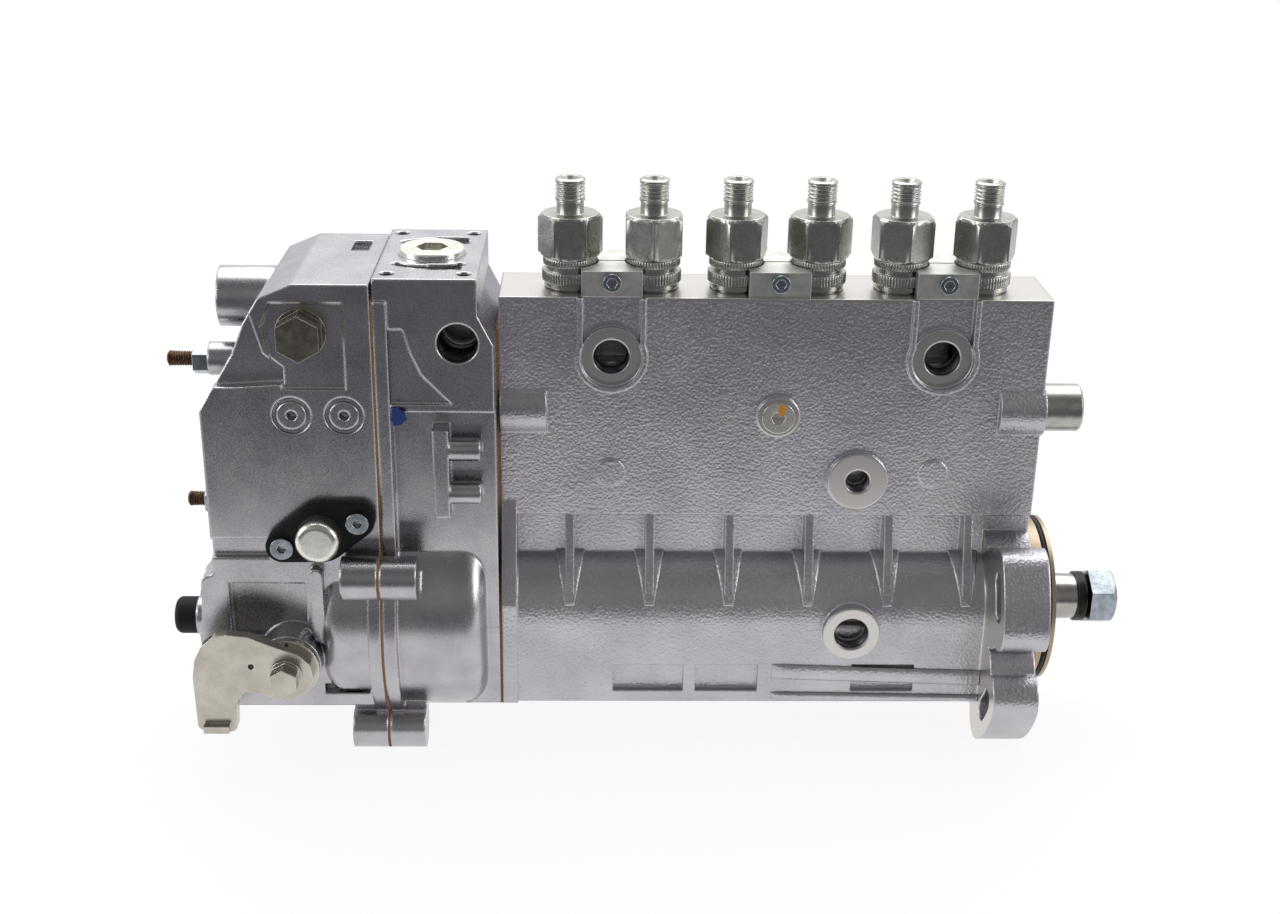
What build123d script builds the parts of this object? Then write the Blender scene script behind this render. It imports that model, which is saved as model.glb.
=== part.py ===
from build123d import *
import math
import os

os.makedirs("parts", exist_ok=True)

# Driving dimensions in millimetres. The origin is on the camshaft's axis in the mounting
# flange's engine side. X points out of the drive end, Z up, and the fuel ports face -Y.

# Pump housing
element_count = 6
element_pitch = 32.0
drive_margin = 26.0
governor_margin = 27.0
port_height = 110.0
head_over_port = 24.0
head_top = port_height + head_over_port
head_front = 16.4
head_back = 16.6
neck_half = 11.0
neck_top = 44.0
chest_radius = 27.5
chest_bore = 23.0
chest_start = 16.0
sole_drop = 35.0
rib_width = 3.6
rib_toe = 9.0
rim_width = 6.0
rim_proud = 1.6
side_pocket_top = 18.0
side_pocket_bottom = 30.0
side_pocket_depth = 2.6
side_pockets = ((-154.0, 28.8), (-122.0, 25.6), (-58.0, 25.6))
sole_opening_half = 16.0
sole_opening_margin = 19.0
cavity_floor = 64.0
cavity_roof = 96.0
cavity_half = 13.9
cavity_end_wall = 14.0
cavity_joint_wall = 6.0
gallery_under_port = 6.0
gallery_span = 8.0
gallery_floor = port_height - gallery_under_port
gallery_roof = gallery_floor + gallery_span
gallery_half = 4.0
gallery_ring = 10.2

# Mounting flange
flange_thickness = 18.0
hub_radius = 37.0
ear_radius = 49.5
ear_width = 20.0
ear_root_radius = 37.0
ear_root_width = 25.0
upper_ear_start = 13.0
upper_ear_end = 37.0
lower_ear_start = 27.0
lower_ear_end = 57.0
slot_width = 9.0
upper_slot_angle = 26.0
lower_slot_angle = 37.0
slot_half_sweep = 6.2
foot_drop = 52.0
drive_bore = 26.0
end_step = 1.0
end_step_height = 41.0

# Ports on the fuel side, the two fuel ports at port_height above
port_offset = 16.0
port_bore = 7.0
port_seat = 12.0
port_lip = 14.0
port_raise = 2.0
port_sink = 0.6
scoop_sink = 2.4
port_depth = 11.0
sense_x = -72.0
sense_height = 59.4
sense_bore = 4.85
sense_seat = 12.0
sense_depth = 9.0
plug_x = -104.7
plug_height = 86.4
plug_boss = 8.4
plug_raise = 1.6
plug_radius = 5.0
plug_head = 6.4
plug_head_height = 1.0
plug_socket = 5.0
pad_radius = 5.8
pad_raise = 0.7
pad_height = 62.2
oil_x = -72.4
oil_height = -2.0
oil_bore = 7.0
oil_seat = 11.5
oil_face = 31.0
oil_depth = 7.0

# Control rack and its guide
rack_radius = 4.75
rack_height = 88.0
rack_offset = 9.0
rack_travel = 18.0
rack_end_x = 12.0
rack_boss_radius = 11.5
rack_boss_length = 18.0
tooth_module = 1.0
gear_teeth = 20
tooth_height = 8.0
addendum_share = 0.75
dedendum_share = 1.25
rack_spare_teeth = 1
rack_teeth = 8
tooth_tip_width = 0.8
tooth_root_width = 1.9
rack_cap_radius = 9.4
rack_cap_length = 15.0
rack_cap_wall = 1.6
rack_cap_stub = 7.0
rack_cap_stub_length = 4.0
rack_pin_radius = 2.5
rack_pin_reach = 14.0

# Pumping elements
barrel_radius = 8.5
barrel_shoulder_drop = 5.0
barrel_foot = gallery_floor - barrel_shoulder_drop
barrel_head_rise = 6.0
barrel_top = gallery_roof + barrel_head_rise
skirt_radius = 5.5
skirt_foot = 72.0
plunger_radius = 3.75
plunger_groove = 3.2
plunger_foot = 40.4
plunger_stroke_room = 6.0
plunger_top = barrel_top - plunger_stroke_room
plunger_disc = 5.0
plunger_disc_height = 1.7
plunger_arm_length = 15.0
plunger_arm_width = 3.6
plunger_arm_height = 4.0
plunger_arm_foot = 67.0
sleeve_radius = 8.1
sleeve_foot = 65.6
sleeve_top = 92.6
valve_flange = 8.4
valve_flange_height = 3.0
valve_stem = 1.9
valve_stem_height = 8.0
valve_spring_radius = 3.0
valve_spring_wire = 0.8
valve_spring_turns = 6
valve_spring_length = 16.0
spring_radius = 6.6
spring_wire = 2.2
spring_turns = 5
spring_foot = 44.6
spring_head = 61.0
seat_radius = 8.2
seat_height = 2.2

# Roller tappets and camshaft
tappet_radius = 8.45
roller_pin_length = 15.2
tappet_foot = 23.0
tappet_top = 40.0
roller_radius = 7.0
roller_width = 8.0
roller_height = 27.6
roller_pin_radius = 2.4
tappet_slot = 8.8
cam_base = 12.0
cam_nose = 6.0
cam_lift = 8.0
cam_width = 9.0
shaft_core = 9.0
drive_journal = 10.0
governor_journal = 8.5
journal_shoulder = 11.5
taper_start = 5.0
taper_end = 25.0
taper_tip = 9.3
shaft_thread = 7.0
shaft_tip_x = 42.0
shaft_guide = 5.0
shaft_guide_x = -255.0
firing_order = (0, 4, 2, 5, 1, 3)
key_length = 12.0
key_width = 4.0
key_height = 2.4

# Bearings, seal and drive end cover
drive_bearing_outer = 23.45
drive_bearing_start = -12.0
drive_bearing_width = 10.5
governor_bearing_outer = 19.95
governor_bearing_width = 11.0
bearing_ring_share = 0.28
bearing_rollers_count = 10
pilot_radius = 34.0
pilot_length = 9.0
spigot_length = 12.0
seal_outer = 16.0
seal_width = 7.0
seal_groove_outer = 13.6
seal_groove_inner = 11.5
o_ring_x = 6.2
o_ring_section = 1.25
o_ring_reach = 34.2
cover_screw_count = 4
cover_screw_circle = 28.2
cover_screw_radius = 1.75
cover_screw_socket = 1.5
cover_screw_head = 2.8
cover_screw_head_height = 2.6
cover_screw_length = 14.0
cover_screw_angle = 45.0

# Shaft nut and washer
washer_radius = 10.4
washer_bore = 7.3
washer_thickness = 5.2
washer_chamfer = 1.7
nut_flats = 21.0
nut_height = 10.4

# Delivery valve holders, heights above the head's top face
holder_thread = 9.0
holder_collar = 10.9
holder_upper_collar = 10.5
holder_groove = 9.4
holder_foot_height = 0.6
lower_knurl_foot = 2.6
lower_knurl_top = 7.0
upper_knurl_foot = 9.0
upper_knurl_top = 12.0
hex_foot_height = 13.6
hex_top_height = 28.8
hex_flats = 21.5
holder_neck = 5.2
union_thread = 5.7
union_foot_height = 33.8
union_top_height = 42.4
union_chamfer = 0.8
union_bore = 1.6
union_cone = 3.6
holder_bore = 4.3
holder_bore_height = 12.0
hex_turn_shares = (0.5, 0.0, 0.72, 0.5, 0.1, 0.6)

# Clamp jaws between pairs of holders
clamp_width = 23.4
clamp_front = 15.6
clamp_height = 10.0
clamp_split = 1.2
clamp_screw_radius = 3.5
clamp_screw_head = 2.2
clamp_screw_shank = 2.4
clamp_screw_height = 6.0
clamp_socket = 3.6

# Governor housing
gasket_thickness = 1.0
governor_depth = 44.0
end_plate_half = 29.0
end_plate_thickness = 5.0
dome_radius = 45.0
dome_bore = 41.5
dome_round = 9.0
body_half = 30.0
body_height = 96.0
block_front = 36.2
block_back = 34.4
block_foot = 94.4
block_height = 146.4
block_right_inset = 5.7
block_bevel_height = 121.0
joint_rim = 5.0
joint_rim_radius = 49.5
joint_rim_half = 38.0
joint_rim_height = 138.0
lug_radius = 8.5
lug_length = 14.0
upper_lug_y = 46.0
upper_lug_z = 30.0
lower_lug_y = 33.0
governor_cavity_half = 25.0
governor_cavity_roof = 95.5
governor_cavity_floor = 20.0
governor_wall = 12.0
dome_bore_depth = 29.0
weight_bore = 34.0
weight_bore_wall = 8.5
shaft_passage = 13.0
rack_passage = 6.5
front_recess = (
    (-254.0, 127.0),
    (-247.5, 127.0),
    (-245.0, 118.0),
    (-241.0, 109.0),
    (-230.0, 97.5),
    (-254.0, 97.5),
)
front_recess_depth = 1.6
pad_plug_channel = 7.0
bolt_recess = 5.4
bolt_thread_depth = 12.0
governor_port_x = -227.3
governor_port_height = 121.7
governor_port_bore = 7.75
governor_port_depth = 22.0
pad_hole_radius = 2.75
pad_hole_depth = 14.0
pad_spacing_x = 28.4
pad_spacing_y = 57.6
pad_centre_x = -239.0
pad_plug_flange = 12.5
pad_plug_height = 2.6
pad_plug_stub = 9.0
pad_plug_depth = 12.0
pad_plug_socket = 11.0
pad_plug_socket_depth = 9.0
pad_pocket_radius = 19.5
pad_pocket_width = 4.4
pad_pocket_sweep = 74.0
pad_pocket_depth = 5.0
pad_pocket_box_x = 13.0
pad_pocket_box_y = 7.0
bracket_x = -234.5
bracket_width = 6.0
bracket_foot = 52.0
bracket_top = 88.0
bracket_reach = 9.0

# Governor cover
cover_front = 38.0
cover_back = 34.0
cover_front_wall = 9.0
cover_end_reach = 65.1
cover_outline = (
    (0, 144.6),
    (28.0, 144.6),
    (40.6, 139.2),
    (47.6, 128.0),
    (52.7, 115.5),
    (59.5, 104.5),
    (cover_end_reach, 95.0),
    (cover_end_reach, 27.0),
    (70.0, 26.0),
    (73.6, -27.0),
    (70.0, -31.0),
    (0, -31.0),
)
cover_dome_length = 25.0
cover_dome_round = 8.0
cover_ledge = (
    (52.0, 104.5),
    (33.0, 105.8),
    (33.0, 112.0),
    (40.0, 118.0),
    (46.0, 140.0),
    (70.0, 140.0),
    (70.0, 104.5),
)
cover_ledge_depth = 5.0
cover_panel = (
    (10.0, 137.5),
    (36.5, 137.5),
    (40.0, 128.0),
    (37.5, 116.0),
    (34.0, 110.0),
    (34.0, 104.0),
    (10.0, 104.0),
)
cover_panel_depth = 1.6
waist_groove = (12.0, 8.0)
waist_groove_x = -313.6
waist_groove_height = 38.6
waist_groove_depth = 3.0
cover_height = 144.6
cover_wall = 5.0
cover_floor_drop = 31.0
cover_round = 5.0
cover_corner = 2.6
tube_radius = 12.0
tube_y = 12.0
tube_height = 125.0
tube_end_x = -323.4
tube_length = 26.0
round_boss_radius = 5.6
round_boss_moat = 1.7
round_boss_bore = 1.9
round_boss_height = 93.5
round_boss_x = (-289.9, -270.2)
cover_plug_x = -284.6
cover_plug_height = 126.0
cover_plug_flats = 15.5
cover_plug_head = 8.0
cover_plug_collar = 9.4
cover_plug_collar_height = 1.4
cover_plug_shank = 5.0
cover_plug_depth = 8.0
top_window = 7.0
top_window_x = -268.0
top_window_y = 16.0
shaft_boss_radius = 12.6
shaft_boss_reach = 9.2
lower_slot_height = 23.2
lower_slot_length = 18.0
lower_slot_width = 4.4
lower_slot_x = -274.6
box_recess_x = 30.0
box_recess_z = 25.0
box_recess_centre_x = -303.8
box_recess_centre_z = 11.0
box_recess_depth = 4.0
web_width = 5.0
web_reach = 4.0
web_top = 29.0
web_knee = 4.0
web_x = -284.0
web_foot_length = 14.0

# Pieces on the governor cover
stud_radius = 3.0
stud_height = 103.0
second_stud_height = 43.0
stud_tip_x = -343.6
second_stud_tip_x = -340.5
stud_inner_length = 24.0
stud_nut_flats = 11.0
stud_nut_height = 6.0
stud_boss_radius = 6.6
stud_boss_reach = 3.0
vent_cap_radius = 7.4
vent_cap_length = 9.0
vent_cap_y = -25.0
vent_cap_height = 3.0
vent_cap_stub = 4.0
end_disc_radius = 20.0
end_disc_thickness = 1.6
end_disc_y = 4.0
end_disc_height = -10.0
end_disc_lip = 1.5
end_seat_x = -334.0
end_seat_depth = 8.0
end_hole_depth = 30.0
shutoff_x = -281.2
shutoff_height = 46.6
shutoff_tilt = 20.0
shutoff_flange_radius = 11.6
shutoff_flange_height = 4.5
shutoff_ear_radius = 6.4
shutoff_ear_span = 15.6
shutoff_screw_head = 4.3
shutoff_screw_head_height = 2.0
shutoff_screw_shank = 2.0
shutoff_screw_length = 12.0
shutoff_screw_socket = 1.9
shutoff_cap_radius = 8.4
shutoff_cap_length = 9.0
shutoff_cap_stub = 6.0
bolt_shank = 3.0
bolt_head_radius = 5.0
bolt_head_height = 5.0
bolt_socket_flats = 5.0

# Control lever
lever_x = -295.5
lever_height = -7.7
lever_shaft_radius = 6.0
lever_shaft_end = 12.0
lever_neck_radius = 4.0
lever_outline = (
    (-317.6, 9.6),
    (-309.0, 8.6),
    (-301.0, 5.0),
    (-290.4, 0.8),
    (-286.0, -3.6),
    (-285.0, -9.6),
    (-287.6, -15.0),
    (-293.2, -18.4),
    (-301.0, -18.4),
    (-307.6, -15.6),
    (-312.2, -15.4),
    (-315.2, -19.6),
    (-316.0, -33.3),
    (-331.2, -32.4),
    (-331.6, -9.0),
    (-330.4, -1.6),
    (-327.4, 4.4),
    (-322.8, 8.4),
)
lever_outline_round = 2.6
lever_disc_radius = 12.2
lever_disc_thickness = 2.4
lever_disc_face = 47.6
lever_disc_hole = 0.9
lever_disc_hole_height = 10.4
lever_plate_thickness = 4.6
lever_hole = 1.2
lever_hole_x = -308.8
lever_hole_height = -4.2
lever_bolt_shank = 2.4
lever_bolt_depth = 10.0
lever_bolt_flats = 10.0
lever_bolt_height = 6.0
lever_bolt_washer = 6.4
lever_bolt_washer_height = 1.2
lever_tab_x = -323.6
lever_tab_foot = -32.4
lever_tab_width = 10.0
lever_tab_depth = 3.0
lever_tab_thickness = 3.0
swivel_arm_length = 26.0
swivel_arm_width = 10.0
swivel_arm_thickness = 6.0

# Flyweights, sleeve and fulcrum lever inside the governor
carrier_x = -227.0
carrier_width = 4.0
carrier_hub = 10.0
carrier_thread = 5.5
carrier_radius = 15.0
carrier_lug_height = 24.0
carrier_lug_gap = 10.0
carrier_lug_thickness = 4.0
carrier_lug_reach = 4.5
carrier_nut_clearing = 12.0
carrier_nut_flats = 14.0
carrier_nut_height = 3.5
weight_pivot_height = 20.0
weight_pivot_x = -228.0
weight_pin_radius = 2.0
weight_eye_radius = 3.9
weight_length = 24.0
weight_foot = 22.0
weight_top = 31.0
weight_half = 4.6
weight_cheek_half = 12.0
weight_cheek_inset = 6.5
weight_arm_tip = 9.0
weight_tip_radius = 1.3
weight_tip_x = -231.5
weight_mass_start = 4.5
sleeve_disc_radius = 11.0
sleeve_disc_thickness = 2.7
sleeve_disc_x = -233.3
sleeve_tube_radius = 7.6
sleeve_end_x = -262.0
sleeve_nose_radius = 2.5
sleeve_nose_length = 1.6
sleeve_floor = 3.0
fulcrum_x = -266.5
fulcrum_height = -19.0
fulcrum_width = 8.0
fulcrum_fork_width = 13.0
fulcrum_thickness = 6.0
fulcrum_pin_radius = 2.5
fulcrum_boss = 5.0
fulcrum_boss_gap = 3.6
fulcrum_pin_grip = 20.0
fulcrum_fork_height = 12.0
fulcrum_fork_overlap = 7.0
governor_spring_radius = 5.2
governor_spring_wire = 1.4
governor_spring_turns = 8
governor_spring_pitch = 3.8
eye_tangent_share = 0.9
small_chamfer_share = 0.25

# Base cover
base_cover_half = 21.0
base_cover_thickness = 3.0
base_cover_margin = 14.5
base_screw_head = 4.2
base_screw_head_height = 3.2
base_screw_shank = 2.5
base_screw_length = 7.0
base_screw_inset = 2.6
base_screw_margin = 8.6
base_screw_count = 4

# Clearances and overruns
run_gap = 0.05
seat_sink = 0.4
thread_gap = 0.1
body_gap = 0.5
fork_gap = 0.5
overrun = 1.0

# Places worked out from the sizes above
element_xs = [-drive_margin - (element_count - 1 - i) * element_pitch for i in range(element_count)]
joint_x = element_xs[0] - governor_margin
port_xs = [element_xs[0] + port_offset, element_xs[-1] - port_offset]
clamp_xs = [(element_xs[i] + element_xs[i + 1]) / 2 for i in range(0, element_count - 1, 2)]
housing_length = -joint_x
governor_x = joint_x - gasket_thickness
cover_joint_x = governor_x - governor_depth
cover_x = cover_joint_x - gasket_thickness
lower_lug_z = -(foot_drop - lug_radius)
gear_radius = gear_teeth * tooth_module / 2
gear_tip = gear_radius + addendum_share * tooth_module
gear_root = gear_radius - dedendum_share * tooth_module
tooth_pitch = math.pi * tooth_module
rack_pitch_y = -gear_radius
rack_tip_y = rack_pitch_y + addendum_share * tooth_module
rack_root_y = rack_pitch_y - dedendum_share * tooth_module
rack_bore = rack_radius + run_gap
base_length = housing_length - 2 * base_cover_margin - 2 * thread_gap
sole_screw_pitch = (base_length - 2 * base_screw_margin) / (base_screw_count - 1)
sole_screw_span_y = 2 * (base_cover_half - base_screw_inset)
tappet_bore = tappet_radius + run_gap
stud_face_x = cover_x - cover_end_reach - stud_boss_reach
fulcrum_pin_length = 2 * (fulcrum_boss_gap + fulcrum_pin_grip)
shutoff_tilt_angle = math.radians(shutoff_tilt)
shutoff_screw_places = [
    (
        shutoff_x + side * shutoff_ear_span * math.cos(shutoff_tilt_angle),
        shutoff_height + side * shutoff_ear_span * math.sin(shutoff_tilt_angle),
    )
    for side in (-1, 1)
]
wall_lug_positions = [
    (side * y, z) for side in (-1, 1) for y, z in ((upper_lug_y, upper_lug_z), (lower_lug_y, lower_lug_z))
]


def slot_arcs(centre, radius, width, first, swept):
    """List the four arcs round a curved slot, each as centre, radius, start and swept angle."""
    arcs = [(centre, radius + width / 2, first, swept), (centre, radius - width / 2, first, swept)]
    for angle, start in ((first, first + 180), (first + swept, first + swept)):
        turn = math.radians(angle)
        place = (centre[0] + radius * math.cos(turn), centre[1] + radius * math.sin(turn))
        arcs.append((place, width / 2, start, 180))
    return arcs


def finish(part, label):
    """Label one piece and write it to its file."""
    part.label = label
    export_step(part, f"parts/{label}.step")


# Pump housing: a sand-cast aluminium block with the mounting flange cast on its drive end
with BuildPart() as pump_housing:
    with BuildSketch(Plane.YZ.offset(joint_x)):
        with Locations(((head_back - head_front) / 2, (head_top + neck_top) / 2)):
            Rectangle(head_front + head_back, head_top - neck_top)
        with Locations((0, neck_top / 2)):
            Rectangle(2 * neck_half, neck_top)
        Circle(chest_radius)
        with Locations((0, -sole_drop / 2)):
            Rectangle(2 * chest_radius, sole_drop)
    extrude(amount=housing_length)
    # Ribs from the head down to the cam chamber, one at each element on both sides
    for rib_x in element_xs:
        with BuildSketch(Plane.YZ.offset(rib_x - rib_width / 2)):
            for side, face in ((-1, head_front), (1, head_back)):
                toe_y = math.sqrt(chest_radius**2 - rib_toe**2)
                with BuildLine():
                    Polyline(
                        (0, neck_top),
                        (side * face, neck_top),
                        (side * toe_y, rib_toe),
                        (0, rib_toe),
                        close=True,
                    )
                make_face()
        extrude(amount=rib_width)
    # Rim against the governor
    with BuildSketch(Plane.YZ.offset(joint_x)):
        rim_half = chest_radius + rim_proud
        for side, face in ((-1, head_front), (1, head_back)):
            with BuildLine():
                Polyline(
                    (0, neck_top + rim_width),
                    (side * face, neck_top + rim_width),
                    (side * rim_half, rib_toe),
                    (side * rim_half, -sole_drop),
                    (0, -sole_drop),
                    close=True,
                )
            make_face()
    extrude(amount=rim_width)
    # Mounting flange with two ears on each side
    with BuildSketch(Plane.YZ.offset(-flange_thickness)):
        Circle(hub_radius)
        for start, end in ((upper_ear_start, upper_ear_end), (-lower_ear_end, -lower_ear_start)):
            for front in (False, True):
                first = 180 - end if front else start
                for arc_radius, width in ((ear_radius, ear_width), (ear_root_radius, ear_root_width)):
                    with BuildLine():
                        for arc in slot_arcs((0, 0), arc_radius, width, first, end - start):
                            CenterArc(*arc)
                    make_face()
    extrude(amount=flange_thickness)
    with BuildSketch(Plane.YZ.offset(-flange_thickness - overrun)):
        for angle in (upper_slot_angle, -lower_slot_angle):
            for front in (False, True):
                middle = 180 - angle if front else angle
                first = middle - slot_half_sweep
                with BuildLine():
                    for arc in slot_arcs((0, 0), ear_radius, slot_width, first, 2 * slot_half_sweep):
                        CenterArc(*arc)
                make_face()
    extrude(amount=flange_thickness + 2 * overrun, mode=Mode.SUBTRACT)
    with BuildSketch(Plane.XY.offset(-foot_drop)):
        with Locations((-flange_thickness / 2, 0)):
            Rectangle(2 * flange_thickness, 4 * ear_radius)
    extrude(amount=-ear_width, mode=Mode.SUBTRACT)
    # Shallow pockets along the foot of both sides
    for wall, depth in ((chest_radius, -side_pocket_depth), (-chest_radius, side_pocket_depth)):
        with BuildSketch(Plane.XZ.offset(wall)):
            for pocket_x, pocket_length in side_pockets:
                with Locations((pocket_x, -(side_pocket_top + side_pocket_bottom) / 2)):
                    Rectangle(pocket_length, side_pocket_bottom - side_pocket_top)
        extrude(amount=depth, mode=Mode.SUBTRACT)
    # Head's drive end, a step behind the flange's face
    with BuildSketch(Plane.YZ):
        with Locations((0, (end_step_height + head_top + overrun) / 2)):
            Rectangle(2 * (head_front + head_back), head_top + overrun - end_step_height)
    extrude(amount=-end_step, mode=Mode.SUBTRACT)
    # Fuel port bosses: raised lips with a sunk ring seat and a scoop to the top edge
    for port_x in port_xs:
        with BuildSketch(Plane.XZ.offset(head_front)):
            with Locations((port_x, port_height)):
                Circle(port_lip)
            with Locations((port_x, (port_height + head_top) / 2)):
                Rectangle(2 * port_seat + port_raise, head_top - port_height)
        extrude(amount=port_raise)
        with BuildSketch(Plane.XZ.offset(head_front + port_raise)):
            with Locations((port_x, port_height)):
                Circle(port_seat)
            with Locations((port_x, (port_height + head_top + overrun) / 2)):
                Rectangle(2 * port_seat - port_raise, head_top - port_height + overrun)
        extrude(amount=-(port_raise + scoop_sink), mode=Mode.SUBTRACT)
        with BuildSketch(Plane.XZ.offset(head_front - port_sink)):
            with Locations((port_x, port_height)):
                Circle(port_seat)
        extrude(amount=-(scoop_sink + port_sink))
    # Sensor boss, lock plug boss, two locating pads and the oil return boss
    with BuildSketch(Plane.XZ.offset(head_front)):
        with Locations((sense_x, sense_height)):
            Circle(sense_seat)
    extrude(amount=port_raise)
    with BuildSketch(Plane.XZ.offset(head_front)):
        with Locations((plug_x, plug_height)):
            Circle(plug_boss)
    extrude(amount=plug_raise)
    with BuildSketch(Plane.XZ.offset(head_front)):
        with Locations(*[(x, pad_height) for x in port_xs]):
            Circle(pad_radius)
    extrude(amount=pad_raise)
    with BuildSketch(Plane.XZ.offset(chest_bore + overrun)):
        with Locations((oil_x, oil_height)):
            Circle(oil_seat)
    extrude(amount=oil_face - chest_bore - overrun)
    # Rack guide bosses at both ends of the front face
    with BuildSketch(Plane.YZ.offset(joint_x)):
        with Locations((-rack_offset, rack_height)):
            Circle(rack_boss_radius)
    extrude(amount=rack_boss_length)
    with BuildSketch(Plane.YZ):
        with Locations((-rack_offset, rack_height)):
            Circle(rack_boss_radius)
    extrude(amount=-rack_boss_length)
    # Cam chamber, open through the sole
    with BuildSketch(Plane.YZ.offset(joint_x + chest_start)):
        Circle(chest_bore)
    extrude(amount=housing_length - chest_start - spigot_length, mode=Mode.SUBTRACT)
    with BuildSketch(Plane.XY.offset(-sole_drop)):
        with Locations((joint_x / 2, 0)):
            Rectangle(housing_length - 2 * sole_opening_margin, 2 * sole_opening_half)
    extrude(amount=sole_drop, mode=Mode.SUBTRACT)
    with BuildSketch(Plane.XY.offset(-sole_drop)):
        with Locations((joint_x / 2, 0)):
            Rectangle(housing_length - 2 * base_cover_margin, 2 * base_cover_half)
    extrude(amount=base_cover_thickness, mode=Mode.SUBTRACT)
    with BuildSketch(Plane.XY.offset(-sole_drop)):
        with Locations((joint_x / 2, 0)):
            with GridLocations(sole_screw_pitch, sole_screw_span_y, base_screw_count, 2):
                Circle(base_screw_shank + thread_gap)
    extrude(amount=base_cover_thickness + base_screw_length + overrun, mode=Mode.SUBTRACT)
    # Sunk seat for the drive end cover, and the bearing seats
    with BuildSketch(Plane.YZ):
        Circle(pilot_radius + body_gap)
    extrude(amount=-seat_sink, mode=Mode.SUBTRACT)
    with BuildSketch(Plane.YZ.offset(joint_x)):
        Circle(governor_bearing_outer)
    extrude(amount=governor_bearing_width, mode=Mode.SUBTRACT)
    with BuildSketch(Plane.YZ.offset(joint_x)):
        Circle(journal_shoulder + body_gap)
    extrude(amount=chest_start + overrun, mode=Mode.SUBTRACT)
    with BuildSketch(Plane.YZ):
        Circle(drive_bore)
    extrude(amount=-(spigot_length + overrun), mode=Mode.SUBTRACT)
    # Rack and sleeve cavity, tappet bores, fuel gallery and holder threads
    cavity_start = joint_x + cavity_joint_wall
    cavity_length = housing_length - cavity_joint_wall - cavity_end_wall
    with BuildSketch(Plane.XY.offset(cavity_floor)):
        with Locations((cavity_start + cavity_length / 2, 0)):
            Rectangle(cavity_length, 2 * cavity_half)
    extrude(amount=cavity_roof - cavity_floor, mode=Mode.SUBTRACT)
    for bore_radius, foot, top in (
        (tappet_bore, 0, cavity_floor + overrun),
        (skirt_radius + body_gap, cavity_roof - overrun, barrel_foot + overrun),
        (barrel_radius + run_gap, barrel_foot, barrel_top + overrun),
        (gallery_ring, gallery_floor, gallery_roof),
        (holder_thread + thread_gap, barrel_top + overrun, head_top + overrun),
    ):
        with BuildSketch(Plane.XY.offset(foot)):
            with Locations(*[(x, 0) for x in element_xs]):
                Circle(bore_radius)
        extrude(amount=top - foot, mode=Mode.SUBTRACT)
    with BuildSketch(Plane.XY.offset(gallery_floor)):
        with Locations(((element_xs[0] + element_xs[-1]) / 2, 0)):
            Rectangle(element_xs[-1] - element_xs[0], 2 * gallery_half)
    extrude(amount=gallery_roof - gallery_floor, mode=Mode.SUBTRACT)
    # Threaded ports on the front, drawn at their bore size
    for x, z, radius, face, depth in (
        (port_xs[0], port_height, port_bore, head_front, port_depth + port_raise),
        (port_xs[1], port_height, port_bore, head_front, port_depth + port_raise),
        (sense_x, sense_height, sense_bore, head_front + port_raise, sense_depth),
        (plug_x, plug_height, plug_radius + thread_gap, head_front + plug_raise, head_front),
        (oil_x, oil_height, oil_bore, oil_face, oil_depth + overrun),
    ):
        with BuildSketch(Plane.XZ.offset(face)):
            with Locations((x, z)):
                Circle(radius)
        extrude(amount=-depth, mode=Mode.SUBTRACT)
    # Rack bores through both end walls and the thread for the rack cap
    with BuildSketch(Plane.YZ.offset(joint_x - overrun)):
        with Locations((-rack_offset, rack_height)):
            Circle(rack_bore)
    extrude(amount=housing_length + 2 * overrun, mode=Mode.SUBTRACT)
    with BuildSketch(Plane.YZ):
        with Locations((-rack_offset, rack_height)):
            Circle(rack_cap_stub + thread_gap)
    extrude(amount=-(rack_cap_stub_length + body_gap), mode=Mode.SUBTRACT)
    # Screw holes for the drive end cover
    with BuildSketch(Plane.YZ):
        with PolarLocations(cover_screw_circle, cover_screw_count, start_angle=cover_screw_angle):
            Circle(cover_screw_radius + thread_gap)
    extrude(amount=-(cover_screw_length - pilot_length + overrun), mode=Mode.SUBTRACT)
finish(pump_housing.part, "pump_housing")

# Control rack: a round rod, milled half flat and toothed behind each element
rack_start_x = fulcrum_x - rack_pin_radius - overrun
with BuildPart() as control_rack:
    with BuildSketch(Plane.YZ.offset(rack_start_x)):
        with Locations((-rack_offset, rack_height)):
            Circle(rack_radius)
    extrude(amount=rack_end_x - rack_start_x)
    flat_start = element_xs[0] - gear_tip - overrun
    flat_end = element_xs[-1] + gear_tip + rack_travel + overrun
    with BuildSketch(Plane.XY.offset(rack_height - rack_radius)):
        with BuildLine():
            Polyline(
                (flat_start, rack_tip_y),
                (flat_end, rack_tip_y),
                (flat_end, 0),
                (flat_start, 0),
                close=True,
            )
        make_face()
        for x in element_xs:
            for k in range(-rack_spare_teeth, rack_teeth):
                with Locations((x + k * tooth_pitch, 0)):
                    Polygon(
                        (-(tooth_pitch - tooth_tip_width) / 2, rack_tip_y + tooth_module),
                        (-(tooth_pitch - tooth_tip_width) / 2, rack_tip_y),
                        (-(tooth_pitch - tooth_root_width) / 2, rack_root_y),
                        ((tooth_pitch - tooth_root_width) / 2, rack_root_y),
                        ((tooth_pitch - tooth_tip_width) / 2, rack_tip_y),
                        ((tooth_pitch - tooth_tip_width) / 2, rack_tip_y + tooth_module),
                        align=None,
                    )
    extrude(amount=2 * rack_radius, mode=Mode.SUBTRACT)
    with BuildSketch(Plane.XZ.offset(rack_offset)):
        with Locations((fulcrum_x, rack_height)):
            Circle(rack_pin_radius)
    extrude(amount=-rack_pin_reach)
finish(control_rack.part, "control_rack")

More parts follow.
